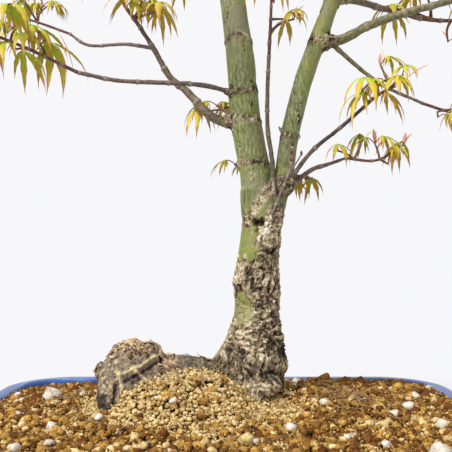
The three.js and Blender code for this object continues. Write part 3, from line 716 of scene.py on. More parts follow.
# The bed under the granules: the pot's outline at three heights, then rings that shrink to the
# middle at the soil's own height less bedDepth
def makeBed():
    s = soilSettings
    rings = [outlineRing(inset, z) for inset, z in s["bedWall"]]
    top = rings[-1]
    for share in np.linspace(1, 0.03, 34):
        x, y = top[:, 0] * share, top[:, 1] * share
        rings.append(np.stack([x, y, soilHeight(x, y) - s["bedDepth"]], -1))
    putShape("soil_bed", skin(np.array(rings)), gritWithPaintedShade(), ["soil"])


granuleSettings = {
    "kinds": 16,
    "lumpy": 0.27,
    "flats": (-0.86, 0.8),
    "squash": (0.75, 1.18),
}


# All kinds of granule: a cube's 26 surface points pushed out to a sphere, then each pulled in or
# out by chance, pressed flat at two heights on each axis and squashed
def granuleShapes(rng):
    s = granuleSettings
    cube = np.array([p for p in np.ndindex(3, 3, 3) if p != (1, 1, 1)], float) - 1
    index = {tuple(p): k for k, p in enumerate(cube)}
    quads = []
    for axis, side, u, v in np.ndindex(3, 2, 2, 2):
        corners = [index[tuple(np.roll([2 * side - 1, u + du - 1, v + dv - 1], axis))]
                   for du, dv in [(0, 0), (1, 0), (1, 1), (0, 1)]]
        quads.append(corners if side else corners[::-1])
    quads = np.array(quads)
    triangles = np.vstack([quads[:, [0, 1, 2]], quads[:, [0, 2, 3]]])
    shapes = unit(cube)[None] * (1 + rng.uniform(-s["lumpy"], s["lumpy"], (s["kinds"], len(cube), 1)))
    shapes = np.clip(shapes, *s["flats"]) * rng.uniform(*s["squash"], (s["kinds"], 1, 3))
    return shapes, triangles


# A turn for each granule, from four normal draws made a unit quaternion
def randomTurns(rng, count):
    w, x, y, z = unit(rng.normal(size=(count, 4))).T
    return np.stack([
        np.stack([1 - 2 * (y * y + z * z), 2 * (x * y - z * w), 2 * (x * z + y * w)], -1),
        np.stack([2 * (x * y + z * w), 1 - 2 * (x * x + z * z), 2 * (y * z - x * w)], -1),
        np.stack([2 * (x * z - y * w), 2 * (y * z + x * w), 1 - 2 * (x * x + y * y)], -1),
    ], 1)


# Places on a grid of one step, each moved by chance, in layers that are set half a step apart
def scattered(rng, step, layers):
    halfX, halfY = potSettings["length"] / 2, potSettings["width"] / 2
    rows = []
    for layer in range(layers):
        x, y = np.meshgrid(np.arange(-halfX, halfX, step), np.arange(-halfY, halfY, step))
        x = x.ravel() + rng.uniform(-0.5, 0.5, x.size) * step + layer * step / 2
        y = y.ravel() + rng.uniform(-0.5, 0.5, y.size) * step + layer * step / 2
        rows.append(np.stack([x, y, np.full(x.size, float(layer))], -1))
    return np.vstack(rows)


# How much a place belongs to the fine straw-coloured heap before the trunk and the old root
def fineShare(x, y):
    wobble = 0.25 * noise(np.stack([x, y, 0 * x], -1), 16, 31)
    return smooth(0.25, 0.65, hill(x, y, *soilSettings["fineHeap"]) + wobble)


# The kinds of granule: piece, colour of its pits with their painted shade and colour of its crests
# with their painted highlight
granuleKinds = [("granules_straw", "9c7b42", "ffe4a6"), ("granules_ochre", "775320", "dbab58"),
                ("granules_umber", "4b2f10", "a87838"), ("granules_rust", "3d2109", "8a5624"),
                ("granules_pumice", "a6957a", "fbf3e4")]

# Large lumps that show: X, Y, size and the kind's number, which is pumice for most
largeLumps = [(49, 65, 7.8, 4), (118, 52, 8.3, 1), (121, 22, 6.5, 4), (94, -28, 5.7, 4), (107, -11, 7.1, 4),
              (116, -43, 9.2, 4), (78, -73, 6.9, 4), (33, -59, 6.2, 4), (10, -73, 11.9, 0), (-109, 17, 14, 4),
              (-68, -45, 4.9, 4), (-91, -50, 7.5, 4), (-86, -73, 6.4, 4), (101, -84, 10.5, 4),
              (-28, -44, 4.9, 4), (-137, 35, 6, 4), (60, -68, 4, 4), (-101, -80, 7.3, 4), (73, 91, 10.6, 2),
              (97, 76, 9, 3), (123, 73, 8, 2), (85, 77, 8.5, 3), (62, 77, 8, 3)]


# Crumbs that lie between the granules: eight-sided shapes whose six points are moved in or out by
# chance, with the kind of granule that each is a crumb of
def crumbShapes(blocked):
    s = soilSettings
    rng = np.random.default_rng(17)
    x, y, _ = scattered(rng, s["crumbStep"], 1).T
    keep = (insideTray(x, y) > 1) & ~blocked(x, y)
    x, y = x[keep], y[keep]
    size = rng.uniform(*s["crumbSize"], len(x)) * (1 - 0.25 * fineShare(x, y))
    points = np.array([(1, 0, 0), (-1, 0, 0), (0, 1, 0), (0, -1, 0), (0, 0, 1), (0, 0, -1)], float)
    points = points * rng.uniform(*s["crumbShape"], (len(x), 6, 1)) * size[:, None, None] / 2
    places = np.stack([x, y, soilHeight(x, y) + rng.uniform(*s["crumbRise"], len(x))], -1)
    points = np.einsum("nij,nkj->nki", randomTurns(rng, len(x)), points) + places[:, None]
    draw = rng.uniform(size=len(x)) - s["crumbPaler"] * fineShare(x, y)
    kinds = (draw > np.array(s["crumbLimits"])[:, None]).sum(0)
    triangles = np.array([(0, 2, 4), (2, 1, 4), (1, 3, 4), (3, 0, 4),
                          (2, 0, 5), (1, 2, 5), (3, 1, 5), (0, 3, 5)])
    return points, kinds, triangles


# Many copies of one set of triangles, each on its own points
def manyOf(points, triangles):
    corners = triangles[None] + (np.arange(len(points)) * points.shape[1])[:, None, None]
    return points.reshape(-1, 3), corners.reshape(-1, 3)


# All granules: two layers of coarse ones, and two of fine ones where fineShare is high, each half
# sunk in the one below, then the large lumps. blocked is true under the trunk and the old root.
def makeGranules(blocked):
    s = soilSettings
    rng = np.random.default_rng(11)
    shapes, triangles = granuleShapes(rng)
    places, sizes, kinds = [], [], []
    for step, span, fine in [(s["coarseStep"], s["coarseSize"], False), (s["fineStep"], s["fineSize"], True)]:
        x, y, layer = scattered(rng, step, 2).T
        share = fineShare(x, y)
        wanted = rng.uniform(size=len(x)) < (share if fine else 1.05 - share)
        size = rng.uniform(*span, len(x)) * np.where(layer > 0, 0.9, 1)
        keep = wanted & (insideTray(x, y) > size * 0.5) & ~blocked(x, y)
        x, y, layer, size = x[keep], y[keep], layer[keep], size[keep]
        z = soilHeight(x, y) - s["sunk"] + layer * step * s["layerRise"]
        z = z + rng.uniform(*s["uneven"], len(x)) * size
        places.append(np.stack([x, y, z], -1))
        sizes.append(size)
        draw = rng.uniform(size=len(x))
        if fine:
            kinds.append(np.digitize(draw, s["fineLimits"]))
        else:
            # Browner towards the back and more golden in front
            back = smooth(-45, 45, y) * 0.22
            limits = np.array(s["coarseLimits"])[:, None] - back * np.array(s["browner"])[:, None]
            kinds.append((draw > limits).sum(0))
    x, y, size, kind = np.array(largeLumps, float).T
    places.append(np.stack([x, y, soilHeight(x, y) + s["lumpRise"]], -1))
    sizes.append(size)
    kinds.append(kind.astype(int))
    places, sizes, kinds = np.vstack(places), np.concatenate(sizes), np.concatenate(kinds)
    which = rng.integers(0, len(shapes), len(places))
    turns = randomTurns(rng, len(places))
    points = np.einsum("nij,nkj->nki", turns, shapes[which] * (sizes / 2)[:, None, None])
    points = points * [1, 1, s["squat"]] + places[:, None]
    crumbs, crumbKinds, crumbTriangles = crumbShapes(blocked)
    for kind, (name, dark, light) in enumerate(granuleKinds):
        shape = joined([manyOf(points[kinds == kind], triangles),
                        manyOf(crumbs[crumbKinds == kind], crumbTriangles)])
        putShape(name, shape, granuleClay(name, dark, light), ["soil"])


# Trunk and limbs

trunkSettings = {
    "foot": (14.2, 0, 86),
    "top": 212,
    "lean": 0.08,
    "waist": 12.5,
    "flare": (12, 121, 9),  # amount, the height where half of it is left, and how gently it goes
    "forkSwell": (2.3, 190),  # amount at the top, and where it starts
    # amount, and the heights between which it goes
    "sweep": (9, 96, 122),
    "tuck": (5, 98, 112),
    # amount, height, and how far it reaches up and down
    "shave": (1.3, 117, 14),
    "kink": (1.9, 163, 17),
    "bulge": (1.7, 156, 9),
    "depth": 0.92,  # from front to back, as a share of its width
    "dome": [(1.5, 0.9), (2.6, 0.7), (3.2, 0.4)],  # rise and share of the radius
    "heel": ((20.5, -17, 97.5), (12, 8, 6.5)),  # middle and half sizes
    "voxel": 0.66,
    "soften": 5,
    "plate": 4.2,
    "finePlate": 2.1,
    "corkDepth": 1.1,
    "spur": [(37, -8, 242.5), (34, -9, 245), (31.5, -10, 250)],
    "ringsLeft": [227.2, 257, 273.4, 307, 335, 362, 390, 418, 446, 466],
    "ringsRight": [243, 301.8, 325, 352, 380, 408, 428],
    "parting": ([212, 260, 330, 480], [27.5, 27, 32, 45]),  # heights, and the X between the limbs
    # how far a bough's foot swells out of its limb: length beyond the radius, share and most
    "collar": (11, 0.9, 2.2),
    "corkTop": 196,
    "seam": ((15, 196), (27, 215)),  # X and Z of its ends, between the limbs
    "knob": ((34, -6, 214), (8, 8, 6.5)),  # middle and half sizes
    # X and Z of the middle, half sizes, and for the patches how green they are
    "wound": ((20.5, 192), (5, 2.4)),
    "greenPatches": [((12, 181.5), (7.2, 10.5), 1), ((10, 141), (5.2, 10.5), 0.72)],
}

# Limbs and boughs: name, what each grows from, foot and tip radius, taper, bends
limbRows = [
    ("left_limb", "trunk", 9.6, 3, 1.8, [(20, 0, 204), (18, 1, 223), (12, 3, 259), (9, 5, 296), (4, 7, 334),
                                         (-2, 8, 372), (-7, 5, 412), (-3, 0, 448), (4, -4, 478)]),
    ("right_limb", "trunk", 5.7, 2.3, 2.2, [(31, -1, 204), (35, -5, 219), (38, -7, 242), (48, -12, 282),
                                            (57, -14, 306), (63, -15, 323), (75, -16, 352), (87, -14, 385),
                                            (93, -10, 415), (95, -8, 440)]),
    ("bough_left_rising", "left_limb", 3.6, 1.4, 0.7, [(12, 3, 254), (0, 3, 255), (-8, 4, 258), (-25, 9, 276),
                                                       (-35, 12, 285), (-47, 16, 306), (-56, 20, 321)]),
    ("bough_left_long", "left_limb", 1.6, 1.1, 1, [(10, 4, 272), (-13, -8, 275), (-36, -16, 274.5),
                                                   (-63, -22, 274), (-85, -28, 277)]),
    ("bough_left_side", "bough_left_rising", 1.2, 0.9, 1, [(-47, 16, 306), (-65, 20, 310), (-92, 27, 312),
                                                           (-105, 31, 321)]),
    ("bough_inner", "trunk", 1.5, 1.1, 1, [(28, -5, 207), (28, -10, 225), (25, -11, 248), (25, -10, 271),
                                           (26, -9, 293)]),
    ("bough_right_front", "trunk", 1.4, 1, 1, [(36, -6, 214), (51, -13, 234), (66, -18, 246),
                                               (80, -23, 258)]),
    ("bough_right_low", "trunk", 1.9, 0.9, 1, [(33, -2, 209), (43, -1, 217.5), (53, 1, 225), (64, 4, 229),
                                               (75, 7, 233)]),
    ("bud_twig", "trunk", 0.9, 0.7, 1, [(25, -6, 190), (31, -14, 206), (35, -17, 216), (38, -18, 225),
                                        (39, -18, 236)]),
    ("bough_right_long", "right_limb", 3.2, 1.7, 0.8, [(55, -14, 299), (69, -15, 301), (85, -19, 308),
                                                       (104, -25, 313), (129, -34, 317), (146, -39, 322)]),
    ("bough_right_drop", "bough_right_long", 1.4, 0.9, 1, [(58, -14, 303), (70, -13, 293), (83, -12, 282),
                                                           (95, -11, 274), (119, -8, 264)]),
    ("bough_right_high", "right_limb", 2.4, 1.5, 1, [(62, -15, 325), (76, -10, 327), (97, 0, 326),
                                                     (124, 9, 323)]),
    ("bough_left_back", "left_limb", 2.8, 1.4, 1, [(2, 8, 348), (-13, 44, 372), (-30, 80, 392)]),
    ("bough_left_front", "left_limb", 2.6, 1.3, 1, [(-2, 8, 374), (-22, -26, 391), (-42, -66, 403)]),
    ("bough_left_outer", "left_limb", 2.5, 1.3, 1, [(-5, 7, 392), (-40, 8, 415), (-84, 6, 433)]),
    ("bough_crown_back", "left_limb", 2.2, 1.2, 1, [(-6, 3, 424), (6, 36, 446), (18, 68, 462)]),
    ("bough_crown_front", "left_limb", 2, 1.2, 1, [(-4, 1, 438), (-8, -30, 458), (-10, -58, 472)]),
    ("bough_crown_left", "left_limb", 1.9, 1.1, 1, [(-2, -1, 454), (-30, 2, 477), (-56, 4, 494)]),
    ("bough_right_back", "right_limb", 2.2, 1.3, 1, [(73, -16, 348), (84, 22, 370), (95, 58, 388)]),
    ("bough_right_outer", "right_limb", 2.1, 1.3, 1, [(81, -15, 368), (112, -20, 386), (142, -22, 400)]),
    ("bough_right_fore", "right_limb", 1.9, 1.2, 1, [(90, -12, 396), (92, -44, 412), (92, -76, 424)]),
    ("bough_right_inner", "right_limb", 1.7, 1.1, 1, [(93, -10, 414), (74, 10, 432), (58, 28, 444)]),
]
limbs = {name: {"name": name, "parent": parent, "foot": foot, "tip": tip, "ease": ease,
                "curve": curveThrough(bends)} for name, parent, foot, tip, ease, bends in limbRows}
mainLimbs = ("left_limb", "right_limb")


# A limb's radius: foot + (tip - foot) * along^ease
def limbRadius(limb, along):
    return limb["foot"] + (limb["tip"] - limb["foot"]) * along ** limb["ease"]


# A bell about one height, and an amount that goes between two heights
def swelling(z, amount, at, reach):
    return amount * bell(z - at, reach)


def dwindling(z, amount, low, high):
    return amount * (1 - smooth(low, high, z))


# The trunk's radius by turn and height: a waist with a bulge, a flare towards the foot, a swelling
# under the fork, five slow lobes, one long sweep of the flare to the left and two tucks low on the right
def trunkRadius(turn, z):
    s = trunkSettings
    flare, half, run = s["flare"]
    share = 1 / (1 + np.exp((z - half) / run))
    swell, start = s["forkSwell"]
    fork = swell * smooth(start, s["top"], z) + swelling(z, *s["bulge"])
    lobes = 1 + 0.1 * share * np.cos(5 * turn + 0.9) + 0.04 * np.cos(3 * turn + z / 22)
    sweep = dwindling(z, *s["sweep"]) * np.maximum(0, np.cos(turn - np.pi)) ** 5
    tuck = dwindling(z, *s["tuck"]) + swelling(z, *s["shave"])
    tuck = tuck * np.maximum(0, np.cos(turn)) ** 2
    return (s["waist"] + fork + flare * share) * lobes + sweep - tuck


# The trunk's rings: radius times cosine and sine of the turn, about a middle that leans with height
# and kinks to the left, flatter from front to back, closed at the top by the rings of a dome
def trunkRings(sides=72, count=90):
    s = trunkSettings
    rise, share = np.array(s["dome"]).T
    z = np.append(np.linspace(s["foot"][2] - 1, s["top"], count), s["top"] + rise)[:, None]
    dome = np.append(np.ones(count), share)[:, None]
    turn = (np.arange(sides) * 2 * np.pi / sides)[None]
    radius = trunkRadius(turn, np.minimum(z, s["top"])) * dome
    depth = s["depth"] - 0.2 * smooth(150, s["top"], z)
    middle = s["foot"][0] + s["lean"] * (z - s["foot"][2]) - swelling(z, *s["kink"])
    x = middle + np.cos(turn) * radius
    y = s["foot"][1] + np.sin(turn) * radius * depth
    return np.stack([x, y, z + 0 * turn], -1)


# True where a place on the soil is under the trunk's flare
def underTrunk(x, y):
    s = trunkSettings
    z = soilHeight(x, y)
    dx = x - s["foot"][0] - s["lean"] * (z - s["foot"][2])
    return np.hypot(dx, y / s["depth"]) < trunkRadius(np.arctan2(y, dx), z) - 1.5


# How far a place is from a straight line between two ends, in X and Z
def nearSegment(x, z, ends):
    (ax, az), (bx, bz) = ends
    t = np.clip(((x - ax) * (bx - ax) + (z - az) * (bz - az)) / ((bx - ax) ** 2 + (bz - az) ** 2), 0, 1)
    return np.hypot(x - ax - t * (bx - ax), z - az - t * (bz - az))


# How far the middle of a rounded oblong is, in units of its half sizes: fourth powers, not squares
def inPatch(x, z, patch):
    (cx, cz), (halfX, halfZ) = patch
    return (((x - cx) / halfX) ** 4 + ((z - cz) / halfZ) ** 4) ** 0.25


# The same for an egg, with squares
def inEgg(p, egg):
    middle, half = egg
    return np.linalg.norm((p - middle) / np.array(half), axis=1)


# Where each bough breaks out of its limb: on its axis, at the limb's own radius
def collars():
    rows = []
    for limb in limbs.values():
        if limb["parent"] in mainLimbs:
            parent = limbs[limb["parent"]]
            start = placeAt(limb["curve"], 0.0)
            near = np.linalg.norm(parent["curve"]["points"] - start, axis=1).argmin()
            radius = limbRadius(parent, parent["curve"]["shares"][near])
            spot = placeAt(limb["curve"], radius / limb["curve"]["length"])
            rows.append((spot, limb["foot"]))
    return rows


# The smooth green patches that cork hasn't covered: ragged oblongs, the paler the lower their share
def greenPatches(p):
    patches = np.zeros(len(p))
    ragged = 0.32 * noise(p, 5, 9) + 0.3 * noise(p, 1.9, 10)
    for middle, half, share in trunkSettings["greenPatches"]:
        inside = 1 - smooth(0.74, 1.08, inPatch(p[:, 0], p[:, 2], (middle, half)) + ragged)
        patches = np.maximum(patches, inside * (share + (1 - share) * noise(p, 2.6, 8)))
    return patches


# Rings round the limbs at their old nodes: a bell of the height off each, which is a little slanted
def nodeRings(p):
    s = trunkSettings
    x, y, z = p.T
    right = x > np.interp(z, *s["parting"])
    ring = np.zeros(len(p))
    for side, heights in ((~right, s["ringsLeft"]), (right, s["ringsRight"])):
        for k, height in enumerate(heights):
            slant = 1.8 * np.sin(np.arctan2(y, x - 10) + k * 2.1) + noise(p, 3, 40 + k)
            width = 1.0 + 1.3 * scramble(np.array([k, 7, 1]), 3)
            ring = np.maximum(ring, side * (z > s["top"] + 4) * bell(z - height + slant, width))
    return ring


# Crusts round the boughs' feet: 1 within about a third more than a foot's radius, ragged by noise
def footCrusts(p):
    crust = np.zeros(len(p))
    for spot, radius in collars():
        reach = np.linalg.norm((p - spot) * [1, 1, 0.8], axis=1) / (radius * 1.35 + 1.6)
        crust = np.maximum(crust, 1 - smooth(0.75, 1.15, reach + 0.25 * noise(p, 2.5, 46)))
    return crust


# Cork's roughness: plates between cracks, coarse below and fine above the trunk's waist, tall and
# furrowed low down, with crests of three sizes on them. Given with its plates, its small plates and
# its two larger crests.
def corkPlates(p):
    s = trunkSettings
    low = 1 - smooth(112, 150, p[:, 2])
    fine = smooth(s["corkTop"] - 8, s["corkTop"] + 4, p[:, 2])[:, None]
    size = s["plate"] * (1 - fine) + s["finePlate"] * fine
    warp = 2.4 * noiseVector(p, 6.5, 11) + 0.8 * noiseVector(p, 2.3, 14)
    bent = np.stack([p[:, 0], p[:, 1], p[:, 2] * (0.72 - 0.34 * low)], -1) + warp
    border, own = cells(bent, size, 21)
    smallBorder, _ = cells(bent * [1, 1, 1.15], size * 0.42, 27)
    plate = smooth(0.0, 0.16, border)
    small = smooth(0.0, 0.35, smallBorder)
    crest, crag, spine = crests(bent, 4.2, 33), crests(bent, 2.0, 37), crests(bent, 1.15, 38)
    big = noise(p * [1, 1, 0.7], 8, 34)
    rough = 0.75 * crest + 0.55 * crag + 0.3 * spine + plate * (0.9 * own - 0.2) + 0.25 * small
    return rough + 0.6 * big - 1.45, plate, small, crest, crag


# How far the bark stands out of the smooth skin, with cork, tone and moss: cork's own roughness
# where it has grown, and a slow unevenness where the bark is green
def barkRelief(p, n):
    s = trunkSettings
    x, _, z = p.T
    front = smooth(0.3, -0.2, n[:, 1])  # 1 on the tree's front, 0 behind
    wobble = noise(p, 7, 3)  # keeps edges ragged
    # Cork covers the trunk up to corkTop, and a little higher on the right
    onTrunk = 1 - smooth(s["corkTop"] - 4, s["corkTop"] + 5, z + 4 * wobble - 5 * smooth(20, 34, x))
    cork = onTrunk * (1 - greenPatches(p) * front)
    seam = bell(nearSegment(x, z, s["seam"]) + 0.8 * wobble, 2.9) * front
    knob = 1 - smooth(0.9, 1.35, inEgg(p, s["knob"]) + 0.25 * wobble)
    ring, crust = nodeRings(p), footCrusts(p)
    # Warts: scattered ones on the green bark, and a row down the left edge under the fork
    specks = smooth(0.4, 0.6, noise(p * [1, 1, 0.5], 4, 71)) * smooth(0.1, 0.3, noise(p, 1.5, 72) + 0.15)
    edge = smooth(2, -9, x - 8 + 0.08 * (z - 86)) * smooth(178, 190, z) * (1 - smooth(214, 224, z))
    warts = np.maximum(0.85 * specks * (z > 150), 0.8 * edge * (wobble > -0.1))
    cork = np.clip(np.maximum.reduce([cork, seam, knob, ring, crust, warts]), 0, 1)
    wound = (1 - smooth(0.6, 1.1, inPatch(x, z, s["wound"]) + 0.45 * noise(p, 2.4, 35))) * front
    cork = np.maximum(cork, wound)
    rough, plate, small, crest, crag = corkPlates(p)
    # The heel's own wrinkles take the place of the plates there
    heel = 1 - smooth(0.85, 1.25, inEgg(p, s["heel"]))
    wrinkle = np.sin((z + 0.02 * (x - 17) ** 2 + 3.4 * noise(p, 7, 36) + 1.2 * noise(p, 2.5, 39)) * 2.1)
    rough = rough * (1 - heel) + heel * (0.4 * wrinkle + 0.45 * crest + 0.3 * crag - 0.3)
    thin = np.maximum.reduce([ring, crust, warts])
    # The skin's lift: cork, then the slow unevenness of green bark
    depth = s["corkDepth"] * (1 - 0.45 * thin * (z > s["top"]))
    lift = cork * depth * rough + 0.7 * ring + 0.5 * crust + 0.5 * knob - 1.2 * wound
    lift += (1 - cork) * (0.2 * noise(p * [1, 1, 0.4], 3.2, 17) + 0.3 * noise(p, 14, 18))
    # Tone: dark in cracks and in the wound, partly as painted shade in these hollows, pale on crests,
    # partly as painted highlight, and along the seam, darker low on the right
    tone = 0.6 + 0.28 * rough - 0.2 * (1 - plate) - 0.08 * (1 - small) + 0.18 * seam
    tone += 0.07 * smooth(125, 165, z) * (z < s["top"])
    tone += heel * (0.1 - 0.34 * smooth(100, 104, z + wobble)) - 0.3 * wound - 0.08 * knob
    tone -= 0.2 * (1 - smooth(102, 109, z)) * smooth(18, 26, x) * (1 - heel)
    moss = 0.8 * (1 - smooth(92, 114, z + 5 * wobble)) * smooth(6, -8, x)
    moss = np.maximum(moss, 0.25 * smooth(0.35, 0.6, noise(p, 10, 51)) * (z < 190))
    return lift, {"cork": cork, "tone": np.clip(tone, 0, 1), "moss": np.clip(moss, 0, 1)}


# The trunk and its two limbs as one skin, fused, roughened by barkRelief along its normals and cut
# in two pieces at the trunk's top
def makeTrunk():
    s = trunkSettings
    spur = placesAt(curveThrough(s["spur"]), np.linspace(0, 1, 8))
    parts = [skin(trunkRings()), ball(*s["knob"]), ball(*s["heel"]),
             tube(spur, np.linspace(1.5, 0.7, 8), sides=12)]
    for name in mainLimbs:
        limb = limbs[name]
        along = np.linspace(0, 1, 150)
        parts.append(tube(placesAt(limb["curve"], along), limbRadius(limb, along), sides=40))
    beyond, swell, most = s["collar"]
    for limb in limbs.values():
        if limb["parent"] in mainLimbs:
            reach = min(0.5, (limbRadius(limb, 0) + beyond) / limb["curve"]["length"])
            along = np.linspace(0, reach, 14)
            thick = limbRadius(limb, along) * (1 + swell * bell(along / reach, 0.62))
            thick = np.minimum(thick, limbRadius(limb, along) + most)
            parts.append(tube(placesAt(limb["curve"], along), thick, sides=16))
    points, triangles = fused(*joined(parts), s["voxel"], s["soften"])
    normals = normalsOf(points, triangles)
    lift, values = barkRelief(points, normals)
    points = points + normals * lift[:, None]
    normals = normalsOf(points, triangles)
    below = points[triangles].mean(1)[:, 2] < s["top"]
    corky = mapleBark("corkyMapleBark", ("333a1c", "686f39", "a3a576"))
    green = mapleBark("greenMapleBark", ("3a4122", "7a8249", "cfcfa8"))
    for name, chosen, material, slot, nodes in [
        ("trunk_bark", below, corky, "cork_bark", ["trunk"]),
        ("limb_bark", ~below, green, "green_bark", mainLimbs),
    ]:
        used, corners = np.unique(triangles[chosen], return_inverse=True)
        mesh = makeMesh(name, points[used], corners.reshape(-1, 3))
        mesh.normals_split_custom_set_from_vertices(normals[used].tolist())
        putPiece(name, mesh, material, nodes, {key: v[used] for key, v in values.items()})


# Old surface root

rootSettings = {
    "balls": [((-55, -11, 100.5), (18, 17, 21)), ((-65, -17, 96), (8.5, 11, 14)),
              ((-74, -8, 104), (3.6, 6, 6)), ((-42, -10, 103.5), (11, 11, 11)),
              ((-46, -10, 107), (10, 11, 13.5))],
    "legs": [([(-65, -18, 100), (-65, -25, 91), (-62, -30, 78)], 8, 6.5),
             ([(-56, -11, 101), (-40, -9, 100), (-24, -7, 101.5), (-8, -3, 98)], 14, 10.5),
             ([(-46, -20, 100), (-30, -22, 101), (-14, -20, 97)], 6, 4)],
    # pale ridges and dark cracks on its front, as X, Z at both ends
    "ridges": [((-61, 104.5), (-49, 109.5)), ((-49, 109.5), (-38, 115.5)), ((-60, 106), (-58.5, 97.5)),
               ((-58.5, 97.5), (-60.5, 90)), ((-52, 108), (-44, 101))],
    "cracks": [((-57, 101), (-47, 106)), ((-47, 106), (-37, 111.5)), ((-62, 99), (-62.5, 88))],
    "flakes": 230,
    "voxel": 0.7,
    "soften": 6,
}


# True where a place on the soil is inside the old root
def overRoot(x, y):
    inside = np.zeros(len(x), bool)
    z = soilHeight(x, y)
    for middle, size in rootSettings["balls"]:
        inside |= inEgg(np.stack([x, y, z], -1), (middle, size)) < 0.9
    return inside


# Thin flakes of peeling bark, more of them where share is high. Each is a granule's shape pressed
# flat against the root, and t, from 0 to 1 along it, curls its far end up by curl * t^2.
def barkFlakes(points, normals, share):
    rng = np.random.default_rng(67)
    count = rootSettings["flakes"]
    shapes, triangles = granuleShapes(rng)
    chosen = rng.choice(len(points), count, replace=False, p=share / share.sum())
    outward = normals[chosen]
    along = unit(np.cross(outward, [0.3, 1, 0.2])) + rng.normal(size=(count, 3)) * 0.4
    along = unit(along - outward * np.sum(along * outward, -1, keepdims=True))
    across = np.cross(outward, along)
    length = rng.uniform(2.6, 8.5, count)
    sizes = np.stack([length, length * rng.uniform(0.25, 0.55, count), np.full(count, 0.6)], -1)
    body = shapes[rng.integers(0, len(shapes), count)] * sizes[:, None] / 2
    t = np.clip(body[..., 0] / length[:, None] + 0.5, 0, 1)
    rise = body[..., 2] + 0.35 + rng.uniform(0.1, 2.2, (count, 1)) * t**2
    places = points[chosen][:, None] + along[:, None] * body[..., :1] + across[:, None] * body[..., 1:2]
    places = places + outward[:, None] * rise[..., None]
    points, triangles = manyOf(places, triangles)
    tone = np.clip(0.3 + 0.45 * t + rng.uniform(-0.28, 0.28, (count, 1)), 0, 1).ravel()
    return points, triangles, {"flake": tone * 0 + 1, "tone": tone, "moss": tone * 0}


# The old root: balls and tubes fused, then lifted along its normals. Creases rise from lower left to
# upper right: folds of a warped wave, over slow lumps, with pale ridges of peeling bark between them.
def makeRoot():
    s = rootSettings
    parts = [ball(middle, size) for middle, size in s["balls"]]
    for bends, thick, thin in s["legs"]:
        along = np.linspace(0, 1, 40)
        parts.append(tube(placesAt(curveThrough(bends), along), thick + (thin - thick) * along, sides=32))
    points, triangles = fused(*joined(parts), s["voxel"], s["soften"])
    normals = normalsOf(points, triangles)
    x, _, z = points.T
    bent = points + 5 * noiseVector(points, 13, 61)
    bent += 1.2 * noiseVector(points, 3, 73)
    slope = bent[:, 2] * 0.85 - bent[:, 0] * 0.5 - bent[:, 1] * 0.25
    crease = smooth(0.36, 0, np.abs(np.sin(slope / 2.6))) * smooth(-0.1, 0.4, noise(points, 10, 78))
    fold = smooth(0.3, 0, np.abs(np.sin(slope / 6.5 + 0.6))) * smooth(-0.3, 0.3, noise(points, 14, 82))
    front = smooth(0.3, -0.2, normals[:, 1])
    ragged = np.abs(1.2 * noise(points, 4, 83) + 0.6 * noise(points, 1.5, 84))
    ridge, crack = [front * bell(np.min([nearSegment(x, z, ends) for ends in s[kind]], axis=0) + ragged, 1.25)
                    for kind in ("ridges", "cracks")]
    # Peeling ridges between the creases, flakes on top and behind, then the skin's lift
    peel = smooth(0.3, 0, np.abs(np.sin(slope / 2.6 + 1.1))) * smooth(-0.1, 0.35, noise(points, 8, 64))
    border, own = cells(bent * [0.55, 1, 1], 3.2, 65)
    top = smooth(112, 117, z + 4 * noise(points, 6, 66)) * (x < -30)
    top = np.maximum(top, 0.7 * smooth(0.25, 0.5, noise(points, 11, 76)) * (x > -44))
    flake = top * smooth(0.3, 0.42, own)
    crest, crag = crests(bent, 2.6, 67), crests(bent, 1.4, 79)
    lift = (0.8 * noise(points, 9, 68) + 0.3 * crest + 0.22 * crag - 0.45 * crease - 0.6 * fold
            + 0.5 * peel - 0.3)
    lift += flake * (0.3 + 1.1 * own) * smooth(0.02, 0.16, border) + ridge - 1.2 * crack
    moss = 0.75 * smooth(-30, -14, x) * smooth(98, 104, z)
    moss = moss * smooth(-0.2, 0.2, crest * 0.5 + noise(points, 5, 70))
    lichen = smooth(0.3, 0.55, noise(points, 1.8, 77)) * (1 - smooth(-64, -56, x))
    # Tone: darker in creases, folds, cracks and the gaps between flakes, partly as painted shade, and paler
    # on crests, partly as painted highlight, on peeling ridges and on lichen
    tone = 0.43 + 0.13 * crest + 0.12 * crag - 0.2 * crease - 0.18 * fold + 0.3 * peel + 0.3 * lichen
    tone += flake * (0.3 * own - 0.35 * smooth(0.12, 0.02, border)) + 0.45 * ridge - 0.4 * crack
    # Darker low on the left, down to the soil under the bulb: painted shade
    tone -= 0.3 * (1 - smooth(86, 99, z)) * smooth(-52, -60, x)
    values = {"flake": flake, "tone": np.clip(tone, 0, 1), "moss": np.clip(moss * (x < 6), 0, 1)}
    bark = weatheredRoot()
    shape = points + normals * lift[:, None], triangles
    putShape("root_bark", shape, bark, ["surface_root"], values)
    *shape, values = barkFlakes(points, normals, top + 0.01)
    putShape("root_flakes", shape, bark, ["surface_root"], values)


# Boughs

boughSettings = {
    "step": 1.4,
    "sides": 14,
    "nodeEvery": 19,
    "nodeWidth": 0.8,
    "nodeSwell": 0.34,
    "seed": 300,
    # how green each bough's bark still is, and how dark its outer half is, 0 to 1
    "green": {"bough_right_long": 0.85, "bough_left_rising": 0.4, "bough_inner": 0.35,
              "bough_right_drop": 0.45},
    "dusk": {"bough_right_front": 0.75, "bough_left_rising": 0.35, "bough_left_side": 0.2},
}


# A tube with swollen nodes: radius + swell * bell at each node, and its ring value to match
def knottyTube(curve, radiusAt, nodes, sides, step, width, swell):
    count = max(4, int(curve["length"] / step))
    along = np.linspace(0, 1, count)
    away = np.abs(along[:, None] - np.reshape(nodes, (1, -1))) * curve["length"]
    ring = bell(away, width).max(1) if len(nodes) else np.zeros(count)
    radius = radiusAt(along) * (1 + swell * ring)
    points, triangles = tube(placesAt(curve, along), radius, sides)
    value = np.append(np.repeat(ring, sides), [0, 0])
    return points, triangles, value


# An even taper from one radius to another
def taper(foot, tip):
    return lambda along: foot + (tip - foot) * along


